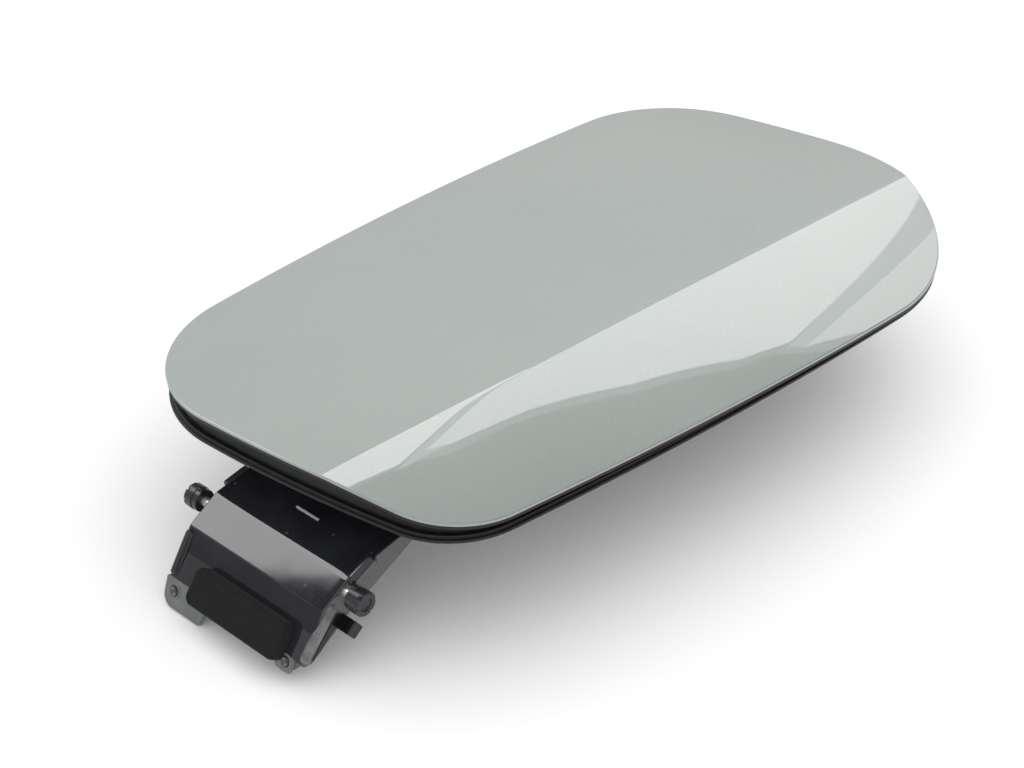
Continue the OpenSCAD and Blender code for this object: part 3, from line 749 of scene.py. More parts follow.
# Extruded rubber of the edge seal: soft, satin, nearly black.
SEAL_RUBBER = Finish("extruded_black_rubber", "0E0F11", "16171A", 0.45, 1.42, 0.6, 0.015, 6.0)
# Moulded rubber of the stops: matt, a little dusty.
STOP_RUBBER = Finish("moulded_stop_rubber", "121212", "1A1A1A", 0.7, 1.45, 0.5, 0.02, 4.0)
# Glass filled polyamide of the arm: glossy, with a painted reflection on its sides and painted highlights on its
# edges.
ARM_PLASTIC = WornPlasticWithPaintedSheen("moulded_glass_filled_polyamide", "1F2024", "26272C", 0.045, 1.52, 0.3,
                          0.0003, rub=0.03, side_reflection=0.25, edge_highlight=0.4)
# The same polyamide on the front bead and far lip, painted light grey as their highlight.
HIGHLIT_BEAD_PLASTIC = WornPlasticWithPaintedSheen("polyamide_bead_painted_highlight", "505152", "747573", 0.3, 1.52, 0.5, 0.004,
                           4.0)
# The same on the rib's top edge, painted pale as its highlight.
HIGHLIT_RIB_TOP = WornPlasticWithPaintedSheen("polyamide_rib_painted_highlight", "B4B4B4", "C2C2C1", 0.5, 1.5, 0.3, 0.004)
# Acetal of the bushes: satin, a shade lighter than the arm.
BUSH_PLASTIC = WornPlasticWithPaintedSheen("moulded_acetal_bush", "1F1E22", "2A292D", 0.28, 1.48, 0.4, 0.01, 5.0)
# Acetal of the peg: darker, with a sharp gloss.
PEG_PLASTIC = WornPlasticWithPaintedSheen("glossy_acetal_peg", "0C0D10", "131418", 0.1, 1.48, 0.5, 0.002, 5.0)
# Thin polyethylene sheet: pale, lets a little light in.
PLATE_PLASTIC = WornPlasticWithPaintedSheen("polyethylene_sheet", "5E6162", "6C6F70", 0.34, 1.5, 0.8, 0.02, 5.0,
                            speck="55585A", subsurface=0.3)
# Polyamide of the latch tower: black, satin, finely grained.
LATCH_PLASTIC = WornPlasticWithPaintedSheen("moulded_latch_polyamide", "141517", "1B1C1F", 0.42, 1.48, 0.4, 0.015)
# Cut foam: fully matt, its cells painted darker than their walls as shade.
FOAM = CellFoam("closed_cell_foam", "1F2220", "0E100F", 1.0, 1.25, 0.5, 0.05)
# Ground steel of the axle: bright, with a soft gloss.
AXLE_STEEL = BareMetal("ground_steel", "DCDEE0", "C6C8CA", 0.38, 1.5, 0.25, 0.002, 3.0,
                       metallic=0.8)
# Zinc plating of the screws: cooler and patchier than bare steel.
ZINC = BareMetal("zinc_plated_steel", "B4B8BD", "9CA0A5", 0.33, 1.5, 0.3, 0.003, 3.0)
# Turned brass of the inserts: warm, slightly tarnished.
BRASS = BareMetal("machined_brass", "C79A52", "A97F3E", 0.3, 1.5, 0.3, 0.003, 3.0)
# Cured glue between rim and skin: dull, dark, uneven.
GLUE = Finish("cured_adhesive", "1B1C1E", "242527", 0.6, 1.5, 1.5, 0.05)
# Bitumen mat of the damping pads: matt and coarse.
DAMPER = Finish("bitumen_mat", "2A2B2C", "343536", 0.8, 1.5, 1.0, 0.08)


@dataclass(frozen=True)
class PanelShape:
    """The painted panel: outline of four corner circles and four bows, and the face's height.

    Sizes are in mm from the middle of the painted face; the names are those of the construction.
    """

    length: float = 227.9
    width: float = 129.4
    free_low_r: float = 60.5
    free_up_r: float = 37.5
    hinge_up_r: float = 36.0
    hinge_low_r: float = 24.7
    free_low_set: float = 0.8
    free_up_set: float = 6.0
    hinge_low_set: Point = (6.6, 9.9)
    bows: tuple[float, float, float, float] = (400.0, 5000.0, 415.0, 760.0)
    crown_r: float = 1430.0
    crease: Triple = (-23.7, -0.062, 0.00033)
    kinks: Point = (1.7, 10.6)
    facet_roll: float = 0.0015
    ridge_rise: float = 1.6
    ridge_reach: Point = (45.0, 75.0)
    crease_round: float = 0.55

    def corners(self) -> np.ndarray:
        """Centre and radius of each corner circle, from the free end's low side.

        Returns:
            Array of 4 by (x, y, radius).
        """
        x, y = self.length / 2, self.width / 2
        return np.array([
            [x - self.free_low_set - self.free_low_r, -y + self.free_low_r, self.free_low_r],
            [x - self.free_up_set - self.free_up_r, y - self.free_up_r, self.free_up_r],
            [-x + self.hinge_up_r, y - self.hinge_up_r, self.hinge_up_r],
            [-x + self.hinge_low_set[0] + self.hinge_low_r,
             -y + self.hinge_low_set[1] + self.hinge_low_r, self.hinge_low_r],
        ])

    @staticmethod
    def bow_centre(a: np.ndarray, b: np.ndarray, r: float) -> np.ndarray:
        """Centre of the arc of radius r that touches circles a and b from outside.

        Args:
            a: Centre and radius of the first circle.
            b: Centre and radius of the second.
            r: Radius of the arc.

        Returns:
            The centre as (x, y).
        """
        d = b[:2] - a[:2]
        span = np.hypot(*d)
        ra, rb = r - a[2], r - b[2]
        along = (ra * ra - rb * rb + span * span) / (2 * span)
        unit = d / span
        across = np.array([-unit[1], unit[0]])
        return a[:2] + unit * along + across * math.sqrt(ra * ra - along * along)

    def outline(self, inset: float, steps: int) -> np.ndarray:
        """Outline set in by a distance: arcs of bow and corner circles in turn.

        Args:
            inset: Distance from the outer edge, in mm.
            steps: Points on each of the eight arcs.

        Returns:
            Array of 8 * steps by 2 places, anticlockwise.
        """
        c = self.corners()
        centres = [self.bow_centre(c[i], c[(i + 1) % 4], self.bows[i]) for i in range(4)]
        share = np.arange(steps)[:, None] / steps
        parts = []
        for i in range(4):
            j = (i + 1) % 4
            heads = [c[i][:2] - centres[i], c[j][:2] - centres[i], c[j][:2] - centres[j]]
            a0, a1, a2 = np.unwrap([math.atan2(h[1], h[0]) for h in heads])
            arcs = ((centres[i], self.bows[i], a0, a1), (c[j][:2], c[j][2], a1, a2))
            for centre, r, start, end in arcs:
                angle = start + (end - start) * share
                parts.append(centre + (r - inset) * np.hstack([np.cos(angle), np.sin(angle)]))
        return np.concatenate(parts)

    def crease_y(self, x: np.ndarray) -> np.ndarray:
        """Place of the crease across the flap, a parabola in x."""
        return self.crease[0] + self.crease[1] * x + self.crease[2] * x * x

    def height(self, x: np.ndarray, y: np.ndarray) -> np.ndarray:
        """Height of the painted face.

        A crown (x^2 + y^2) / 2R, less a facet that falls away past the crease by
        w tan(k) + c w^2 / 2, plus a ridge along the crease. |d| is sqrt(d^2 + e^2), which
        rounds the crease.

        Args:
            x: Places along the flap.
            y: Places across it.

        Returns:
            Heights in mm from the top of the crown.
        """
        d = y - self.crease_y(x)
        soft = np.sqrt(d * d + self.crease_round ** 2)
        past = (soft - d) / 2
        share = np.clip(x / self.length + 0.5, 0, 1)
        low, high = (math.tan(math.radians(k)) for k in self.kinks)
        fall = past * (low + (high - low) * share) + self.facet_roll * past * past / 2
        near, far = self.ridge_reach
        reach = (near + far) / 2 + (far - near) / 2 * d / soft
        ridge = self.ridge_rise * share ** 2 * np.clip(1 - soft / reach, 0, 1) ** 2
        return ridge - (x * x + y * y) / (2 * self.crown_r) - fall


PANEL = PanelShape()


@dataclass
class PaintedSkin:
    """Pressed skin: creased face with a tight rolled edge, one closed sheet.

    The seal's grip covers the flange below the edge. Sizes are in mm.
    """

    shape: PanelShape = PANEL
    sheet: float = 0.8
    edge_r: float = 0.35
    lip_r: float = 0.2
    under_in: float = 1.6
    steps: int = 260
    arc_steps: int = 60
    rows: tuple[int, int] = (26, 60)
    under_rows: tuple[int, int] = (4, 8)
    bunch: float = 1.7
    crease_guess: float = 0.3
    crease_rounds: int = 6
    sharp: float = 60.0

    def chains(self, inset: float) -> tuple[np.ndarray, np.ndarray]:
        """Outline cut where it meets the crease, as a low and a high chain of equal counts.

        Args:
            inset: Distance from the outer edge.

        Returns:
            Low and high chain, both from the hinge end to the free end.
        """
        p = self.shape.outline(inset, self.arc_steps)
        side = p[:, 1] - self.shape.crease_y(p[:, 0])
        after = np.roll(side, -1)
        cut = {}
        hits = {"start": (side > 0) & (after <= 0), "end": (side <= 0) & (after > 0)}
        for name, hit in hits.items():
            i = int(np.argmax(hit))
            q = np.roll(p, -1, 0)[i]
            cut[name] = (i, p[i] + (q - p[i]) * side[i] / (side[i] - after[i]))
        h, start = cut["start"]
        e, end = cut["end"]
        n = len(p)
        low = np.vstack([start, np.roll(p, -(h + 1), 0)[:(e - h) % n], end])
        high = np.vstack([end, np.roll(p, -(e + 1), 0)[:(h - e) % n], start])[::-1]
        return self.even(low), self.even(high)

    def even(self, path: np.ndarray) -> np.ndarray:
        """Path divided into equal steps by length.

        Args:
            path: Places in order.

        Returns:
            Array of steps + 1 by 2 places.
        """
        s = np.concatenate([[0], np.cumsum(np.linalg.norm(np.diff(path, axis=0), axis=1))])
        t = np.linspace(0, s[-1], self.steps + 1)
        return np.column_stack([np.interp(t, s, path[:, k]) for k in (0, 1)])

    def ring(self, inset: float, drop: float) -> np.ndarray:
        """Closed ring of places at an inset, that far below the face.

        Args:
            inset: Distance from the outer edge.
            drop: How far it lies below the face.

        Returns:
            Array of n by 3 places.
        """
        low, high = self.chains(inset)
        flat = np.vstack([low, high[-2:0:-1]])
        return np.column_stack([flat, self.shape.height(flat[:, 0], flat[:, 1]) - drop])

    def face_grid(self, inset: float, drop: float, rows: tuple[int, int]) -> np.ndarray:
        """Grid over the face whose rows run along the flap, one of them on the crease.

        P(u, v) = low(u) + (high(u) - low(u)) v, with v bunched towards the crease on both sides.

        Args:
            inset: Distance of its border from the panel's edge.
            drop: How far it lies below the painted face.
            rows: Rows below and above the crease.

        Returns:
            Array of columns by rows by 3 places.
        """
        low, high = self.chains(inset)
        run = high - low
        span = np.where(np.abs(run[:, 1]) < TINY, TINY, run[:, 1])
        meet = np.full(len(low), self.crease_guess)
        for _ in range(self.crease_rounds):
            meet = (self.shape.crease_y(low[:, 0] + run[:, 0] * meet) - low[:, 1]) / span
        meet = np.clip(meet, 0, 1)[:, None]
        below = 1 - (1 - np.linspace(0, 1, rows[0] + 1)) ** self.bunch
        above = np.linspace(0, 1, rows[1] + 1)[1:] ** self.bunch
        v = np.hstack([meet * below, meet + (1 - meet) * above])
        flat = low[:, None] + run[:, None] * v[..., None]
        z = self.shape.height(flat[..., 0], flat[..., 1]) - drop
        return np.dstack([flat, z])

    @staticmethod
    def cap(grid: np.ndarray, ring_start: int,
            inner_start: int) -> tuple[np.ndarray, list, np.ndarray]:
        """Faces that join a face grid to its ring.

        Args:
            grid: Face grid of columns by rows by 3.
            ring_start: Number of the ring's first point.
            inner_start: Number of the first inner point.

        Returns:
            Quads, triangles at the two ends, and the inner points.
        """
        cols, rows = grid.shape[:2]
        number = np.zeros((cols, rows), int)
        inner = np.arange((cols - 2) * (rows - 2)).reshape(cols - 2, rows - 2)
        number[1:-1, 1:-1] = inner_start + inner
        number[:, 0] = ring_start + np.arange(cols)
        number[1:-1, -1] = ring_start + 2 * (cols - 1) - np.arange(1, cols - 1)
        number[0, :], number[-1, :] = ring_start, ring_start + cols - 1
        cells = np.stack([number[:-1, :-1], number[1:, :-1], number[1:, 1:], number[:-1, 1:]], -1)
        ends = list(cells[0][:, [0, 1, 2]]) + list(cells[-1][:, [0, 1, 3]])
        return cells[1:-1].reshape(-1, 4), ends, grid[1:-1, 1:-1].reshape(-1, 3)

    def section(self) -> list[Point]:
        """Insets and drops of the rings from the face over the rolled edge to the underside.

        Returns:
            Pairs of inset and drop.
        """
        a = np.linspace(0, QUARTER, Detail.CORNER.value + 1)
        roll = list(zip(self.edge_r * (1 - np.sin(a)), self.edge_r * (1 - np.cos(a))))
        lip = [(self.lip_r * (1 - np.cos(t)), self.sheet - self.lip_r * (1 - np.sin(t)))
               for t in a]
        return roll + lip + [(self.under_in, self.sheet)]

    def build(self, shop: Workshop) -> None:
        """Makes the skin and puts it in place of its node.

        Args:
            shop: Makes the objects.
        """
        section = self.section()
        rings = np.stack([self.ring(inset, drop) for inset, drop in section])
        n, m = rings.shape[:2]
        top = self.face_grid(*section[0], self.rows)
        under = self.face_grid(*section[-1], self.under_rows)
        top_quads, top_ends, top_inner = self.cap(top, 0, n * m)
        under_quads, under_ends, under_inner = self.cap(under, (n - 1) * m, n * m + len(top_inner))
        sides = grid_quads(n, m, False, True)
        quads = np.vstack([top_quads, sides[:, ::-1], under_quads[:, ::-1]])
        caps = top_ends + [t[::-1] for t in under_ends]
        points = np.vstack([rings.reshape(-1, 3), top_inner, under_inner])
        shop.piece("painted_skin", [Solid(points, quads, caps)], PAINT, "outer_skin", self.sharp)


@dataclass
class RimSeal:
    """Black seal round the frame's rim, whose lower lip shows below the painted edge.

    Sizes are in mm: insets from the panel's edge, heights from the rim's arched lower edge.
    """

    lip_in: float = 0.4
    rim_out: float = 2.35
    step_in: float = 1.25
    lip_h: float = 1.0
    web_h: float = 1.8
    base_z: float = -11.0
    arch_r: float = 1965.0
    arch_x: float = 20.0
    arch_end: float = 95.0
    radii: tuple[float, ...] = (0.35, 0.45, 0.0, 0.0, 0.25, 0.15)
    grip_in: Point = (0.1, 0.95)
    grip_drop: Point = (0.82, 1.85)
    grip_radii: tuple[float, ...] = (0.1, 0.3, 0.1, 0.0)
    steps: int = 72

    def build(self, shop: Workshop) -> None:
        """Carries the rounded section round the outline.

        Args:
            shop: Makes the objects.
        """
        section = fillet([(self.lip_in, self.lip_h), (self.lip_in, 0.0), (self.rim_out, 0.0),
                          (self.rim_out, self.web_h), (self.step_in, self.web_h),
                          (self.step_in, self.lip_h)], self.radii, Detail.SMALL)
        rings = []
        for inset, rise in section:
            flat = PANEL.outline(inset, self.steps)
            off = np.minimum(self.arch_end, np.abs(flat[:, 0] + self.arch_x))
            arch = self.base_z - off ** 2 / (2 * self.arch_r)
            rings.append(np.column_stack([flat, arch + rise]))
        solids = [lofted(np.stack(rings), wrap=True), self.grip_ring()]
        shop.piece("edge_lip_seal", solids, SEAL_RUBBER, "edge_seal")

    def grip_ring(self) -> Solid:
        """Rubber that grips the skin's flange, a ring of set insets and drops below the face.

        Returns:
            The ring of rubber.
        """
        (out, inside), (top, low) = self.grip_in, self.grip_drop
        section = fillet([(out, top), (out, low), (inside, low), (inside, top)], self.grip_radii)
        skin = PaintedSkin(steps=self.steps * 2)
        return lofted(np.stack([skin.ring(inset, drop) for inset, drop in section]), wrap=True)


@dataclass
class GooseneckArm:
    """Moulded arm: folded top plate and hood between two side walls, with rolled beads and ears.

    Sizes are in mm; places are (along, up) from the axle. The folds run from the top plate's low
    end to the front face's end, and wall_low is the side walls' lower edge. A rib is its half
    thickness, its lower and upper edge from the plate's face and its half length; a lip is its
    start and end along the top plate, its lower edge and how far it stands out.
    """

    width: float = 50.0
    wall: float = 2.6
    cheek: float = 2.4
    overlap: float = 0.05
    foot_in: float = 76.0
    foot_l: float = 32.0
    foot_slant: float = 2.0
    frame_z: float = -11.0
    edge: float = 0.45
    folds: Plan = ((27.0, 8.2), (1.4, 3.5), (-7.4, -1.9), (-10.6, -7.5), (-15.2, -13.9))
    shell_radii: tuple[float, ...] = (0, 3, 6, 6, 0.9, 4, 0.4, 0.4, 6, 0.4, 3, 3.4, 5, 0)
    wall_low: Plan = ((23.0, 3.1), (6.4, -4.9), (0.6, -7.4), (-11.6, -15.6), (-14.2, -15.4))
    cheek_radii: tuple[float, ...] = (0, 6, 6, 0.9, 4, 0.4, 1.2, 1.2, 3, 6, 8, 0)
    lug: Plan = ((8.4, 4.7), (2.6, 2.2))
    lug_r: float = 1.6
    far_ends: Point = (0.3, 0.75)
    far_share: float = 0.7
    highlit: Plan = ((-4.9, -2.7), (-13.6, -12.7))
    highlit_in: float = 0.1
    highlit_r: float = 1.4
    strip: Plan = ((-3.2, -4.6), (-12.3, -14.4), (-11.4, -14.9), (-0.2, -6.4))
    strip_r: float = 0.5
    strip_y: Triple = (-0.25, 0.3, 0.2)
    rib_at: Point = (0.66, -0.6)
    rib: tuple[float, ...] = (0.3, -0.5, 0.35, 4.0)
    rib_top: tuple[float, ...] = (0.34, 0.3, 0.6, 4.1)
    lips: tuple[tuple[float, ...], ...] = ((0.2, 0.46, -2.0, 1.3), (0.57, 0.86, -0.5, 0.9))
    barrel: Point = (24.9, 2.1)

    def line(self) -> list[Point]:
        """Outer line in side view, from the foot over the hood to the front face's end."""
        foot = HINGE_X + self.foot_in
        return [(foot, self.frame_z), (foot - self.foot_l, self.frame_z), *from_hinge(self.folds)]

    def shell(self) -> Solid:
        """The folded plate between the side walls.

        Returns:
            The plate as one solid.
        """
        outer = self.line()
        inner = side_step(outer, self.wall)
        reach = self.width / 2 - self.cheek + self.overlap
        return slab(fillet(outer + inner[::-1], self.shell_radii, Detail.CORNER), -reach, reach)

    def cheeks(self) -> list[Solid]:
        """Both side walls, their outer edges rounded.

        Returns:
            The far and the near wall.
        """
        line = self.line()
        heel = (line[1][0] + self.foot_slant, self.frame_z - self.wall)
        low = [heel, *from_hinge(self.wall_low)]
        loop = fillet(line[1:] + low[::-1], self.cheek_radii, Detail.CORNER)
        out, inside = self.width / 2, self.width / 2 - self.cheek
        return [slab(loop, inside, out, r_high=self.edge),
                slab(loop, -out, -inside, r_low=self.edge)]

    @staticmethod
    def bead(ends: Sequence[Point], y: float, r: float) -> Solid:
        """Rod with round ends: half circles turned about the line between its two ends.

        Args:
            ends: The two ends in side view.
            y: Its place along the axle.
            r: Its radius.

        Returns:
            The rod.
        """
        a, b = ends
        run = math.hypot(b[0] - a[0], b[1] - a[1])
        t = np.linspace(0.01, QUARTER, 12)
        start = np.column_stack([r * np.sin(t), -r * np.cos(t)])
        half = np.vstack([start, np.column_stack([start[::-1, 0], run - start[::-1, 1]])])
        tilt = 90 - math.degrees(math.atan2(b[1] - a[1], b[0] - a[0]))
        return turned(half).moved(turn_about_y(tilt), (a[0], y, a[1]))

    def beads(self) -> list[Solid]:
        """Lug in line with the top plate on the near side, and the far side's front bead.

        Returns:
            The lug and the far bead.
        """
        side, line, r = self.width / 2, self.line(), self.lug_r * self.far_share
        far = [mix(line[4 + k], line[5 + k], share) for k, share in enumerate(self.far_ends)]
        return [self.bead(from_hinge(self.lug), -side, self.lug_r), self.bead(far, side - r, r)]

    def highlit_bead(self) -> Solid:
        """Bead beside the front face, on the near side, whose pale grey is a painted highlight."""
        return self.bead(from_hinge(self.highlit), -self.width / 2 + self.highlit_in, self.highlit_r)

    def bead_shade_strip(self) -> Solid:
        """Black strip behind the highlit bead, painted shade beside it.

        Returns:
            The strip.
        """
        low, high, edge_r = self.strip_y
        loop = fillet(from_hinge(self.strip), [self.strip_r] * 4)
        return slab(loop, -self.width / 2 + low, -self.width / 2 + high, edge_r)

    def top_rib(self, half_w: float, low: float, high: float, half_l: float) -> Solid:
        """Short rib that stands on the top plate.

        Args:
            half_w: Half of its thickness.
            low: Its lower edge, measured from the plate's face.
            high: Its upper edge.
            half_l: Half of its length along the axle.

        Returns:
            The rib.
        """
        start, end = self.line()[2:4]
        share, y = self.rib_at
        x, z = mix(start, end, share)
        loop = fillet(box_corners(-half_w, low, half_w, high), [0, 0, half_w * 0.6, half_w * 0.6])
        turn = turn_about_y(math.degrees(math.atan2(start[1] - end[1], end[0] - start[0])) + 180)
        return slab(loop, -half_l, half_l, 0.2, 0.2).moved(turn, (x, y, z))

    def side_lips(self) -> list[Solid]:
        """Thin lip along the far side of the top plate, in two lengths with a notch between.

        Returns:
            The length near the frame and the one near the hood.
        """
        plate, side = self.line()[2:4], self.width / 2
        made = []
        for start, end, low, out in self.lips:
            edge = [mix(*plate, start), mix(*plate, end)]
            loop = fillet(side_step(edge, low) + side_step(edge, 1.0)[::-1], [0.45] * 4)
            made.append(slab(loop, side - 0.6, side + out, 0.3, 0.3))
        return made

    def build(self, shop: Workshop) -> None:
        """Makes the arm as one piece, and as three more the painted highlights on bead, lip and rib top and the
        painted shade beside the bead.

        Args:
            shop: Makes the objects.
        """
        half, r = self.barrel
        highlit_lip, dark_lip = self.side_lips()
        solids = [self.shell(), *self.cheeks(), *self.beads(), self.top_rib(*self.rib), dark_lip,
                  rod(half, r, 0.0, 0.01), *PadPlate().ears()]
        shop.piece("gooseneck_arm", solids, ARM_PLASTIC, "hinge_arm")
        # Pale bead, lip and rib top are painted highlights; the black strip is painted shade.
        for name, solids, finish in (
                ("highlit_front_bead", [self.highlit_bead(), highlit_lip], HIGHLIT_BEAD_PLASTIC),
                ("painted_shade_strip", [self.bead_shade_strip()], PEG_PLASTIC),
                ("highlit_rib_top", [self.top_rib(*self.rib_top)], HIGHLIT_RIB_TOP)):
            shop.piece(name, solids, finish, "hinge_arm", stands_for=False)


@dataclass
class PadPlate:
    """Thin plate that hangs below the pad on two heat stakes; its left tab is L-shaped.

    Sizes are in mm; top and low are the plate's ends as (along, up) from the axle. Stakes are
    (y, half width of the ear, z below the axle), ear is (below the stake, above the plate, depth
    at its low end, depth at its high end), and a tab's pair is for its low and its high end.
    """

    top: Point = (-15.15, -13.9)
    low: Point = (-17.8, -21.6)
    sheet: float = 1.1
    edge_r: float = 0.3
    stakes: tuple[Triple, ...] = ((22.0, 2.5, -16.9), (-19.8, 2.2, -15.6))
    stake_r: float = 1.1
    stake_deep: float = 1.0
    head_r: Point = (1.4, 1.35)
    head_h: Point = (0.5, 0.55)
    ear: tuple[float, ...] = (1.8, 2.6, 2.4, 4.0)
    left: float = 25.8
    right: float = -22.0
    strip_h: float = 2.2
    left_tab: Point = (11.6, 9.5)
    right_tab: Point = (5.2, 7.0)
    right_short: float = 3.4
    radii: tuple[float, ...] = (0.6, 1.2, 1.2, 0.8, 0.8, 1.2, 3.4, 0.8)
    border_r: float = 0.32
    border_in: Triple = (0.5, 0.6, 1.2)
    border_ends: Point = (12.3, 20.0)
    ring_r: float = 1.75
    ring_tube: Point = (0.3, 0.28)

    def front_x(self, z: float) -> float:
        """Distance from the axle of the plate's front at a height."""
        lean, tall = self.low[0] - self.top[0], self.top[1] - self.low[1]
        return self.top[0] + lean * (self.top[1] - z) / tall

    def slant(self) -> float:
        """Lean of the plate from upright, in degrees."""
        return math.degrees(math.atan2(self.top[0] - self.low[0], self.top[1] - self.low[1]))

    def on_back(self, solid: Solid, y: float, z: float) -> Solid:
        """A solid about its own z axis, set square on the plate's back at that place."""
        x, h = hinge_at(self.front_x(z) + self.sheet, z)
        return solid.moved(turn_about_y(self.slant() - 90), (x, y, h))

    def ears(self) -> list[Solid]:
        """Ears of the arm behind the plate, with the stakes that pass through it.

        Returns:
            An ear and a stake in turn.
        """
        below, above, deep_low, deep_high = self.ear
        made = []
        for y, half, z in self.stakes:
            low, high = z - below, self.top[1] + above
            x_low, x_high = self.front_x(low) + self.sheet, self.front_x(high) + self.sheet
            corners = [(x_high, high), (x_low, low), (x_low + deep_low, low),
                       (x_high + deep_high, high)]
            loop = fillet(from_hinge(corners), [0.0, 0.4, 0.4, 0.0])
            made.append(slab(loop, y - half, y + half, 0.35, 0.35))
            made.append(self.on_back(turned(self.stake_profile()), y, z))
        return made

    def stake_profile(self) -> np.ndarray:
        """Stake through the sheet with a low domed head.

        Returns:
            Array of n by 2 places as (radius, height).
        """
        return rounded_profile([
            (0.01, -self.stake_deep, 0), (self.stake_r, -self.stake_deep, 0),
            (self.stake_r, self.sheet, 0), (self.head_r[0], self.sheet, 0),
            (self.head_r[1], self.sheet + self.head_h[0], 0.3),
            (0.01, self.sheet + self.head_h[1], 0)])

    def build(self, shop: Workshop) -> None:
        """Cuts the plate's outline from the sheet, with a raised edge round the left tab.

        Args:
            shop: Makes the objects.
        """
        tall = (self.top[1] - self.low[1]) / math.cos(math.radians(self.slant()))
        left, right, short = self.left, self.right, self.right_short - tall
        outline = fillet([(right, 0), (right, short), (right + self.right_tab[0], short),
                          (right + self.right_tab[1], -self.strip_h),
                          (self.left_tab[1], -self.strip_h), (self.left_tab[0], -tall),
                          (left, -tall), (left, 0)], self.radii, Detail.CORNER)
        # The outline lies as (y, height); the slab's own axes are (x, z), its thickness along y.
        to_plate = np.array([[0.0, 1.0, 0.0], [1.0, 0.0, 0.0], [0.0, 0.0, 1.0]])
        flat = slab(outline, 0.0, self.sheet, self.edge_r, self.edge_r)
        side, low, high = self.border_in
        rim = fillet([(self.border_ends[0], low - tall), (left - side, side - tall),
                      (left - side, -high), (self.border_ends[1], -high)],
                     [0.0, 3.0, 1.2, 0.0], Detail.CORNER)
        border = self.cord(rim, self.sheet, self.border_r)
        x, z = hinge_at(self.top[0] + self.sheet, self.top[1])
        lean = turn_about_y(self.slant())
        solids = [part.outward().moved(lean, (x, 0.0, z)) for part in (
            flat.moved(to_plate, (-self.sheet, 0.0, 0.0)),
            border.moved(to_plate @ np.diag([1.0, -1.0, 1.0])))]
        solids += [self.on_back(self.melt_ring(), y, h) for y, _, h in self.stakes]
        shop.piece("hanging_pad_plate", solids, PLATE_PLASTIC, "pad_plate")

    @staticmethod
    def cord(path: np.ndarray, level: float, r: float) -> Solid:
        """Flattened cord; each ring is r (cos a n + 0.4 sin a k), n across the path, k outwards.

        Args:
            path: Its middle line as (across, up) places.
            level: Its height above the plate's back.
            r: Its radius.

        Returns:
            The cord.
        """
        run = np.gradient(path, axis=0)
        n = np.column_stack([-run[:, 1], run[:, 0]]) / np.linalg.norm(run, axis=1, keepdims=True)
        a = np.arange(12) * math.pi / 6
        flat = path[:, None] + r * np.cos(a)[None, :, None] * n[:, None]
        out = np.broadcast_to(level + r * 0.4 * np.sin(a), flat.shape[:2])
        return lofted(np.stack([flat[..., 0], out, flat[..., 1]], -1))

    def melt_ring(self) -> Solid:
        """Ring of melted plastic round a stake's head, about its own z axis.

        Returns:
            The ring.
        """
        wide, tall = self.ring_tube
        a = np.linspace(0, 2 * math.pi, 12, endpoint=False)
        angle = (np.arange(36) * math.pi / 18)[:, None]
        r = self.ring_r + wide * np.cos(a)
        out = np.broadcast_to(self.sheet + tall * np.sin(a), (36, 12))
        return lofted(np.stack([r * np.cos(angle), r * np.sin(angle), out], -1), wrap=True)


@dataclass
class FoamPad:
    """Foam pad glued to the front face: a cut block with pressed edges.

    Sizes are in mm.
    """

    width: float = 34.1
    height: float = 10.2
    thick: float = 3.2
    corner_r: float = 2.4
    edge_r: float = 0.8
    middle_y: float = -2.0
    glue: float = 0.02
    glued_edge: float = 0.1
    top_in: float = 0.2
    sharp: float = 50.0

    def build(self, shop: Workshop) -> None:
        """Makes the pad along the arm's front face.

        Args:
            shop: Makes the objects.
        """
        line = GooseneckArm().line()
        run = np.subtract(line[6], line[5])
        run = run / np.hypot(*run)
        top = np.array(line[5]) + run * self.top_in
        half = self.width / 2
        outline = fillet([(-half, 0), (-half, -self.height), (half, -self.height), (half, 0)],
                         [self.corner_r] * 4, Detail.CORNER)
        block = slab(outline, self.glue, self.glue + self.thick, self.glued_edge, self.edge_r)
        # Slab axes (across, out, up the face) become (y, outward normal, up the face).
        up, out = -run, np.array([run[1], -run[0]])
        to_face = np.array([[0.0, out[0], up[0]], [1.0, 0.0, 0.0], [0.0, out[1], up[1]]])
        pad = shop.piece("glued_foam_pad", [block.moved(to_face, (top[0], self.middle_y, top[1]))],
                         FOAM, "foam_pad", self.sharp)


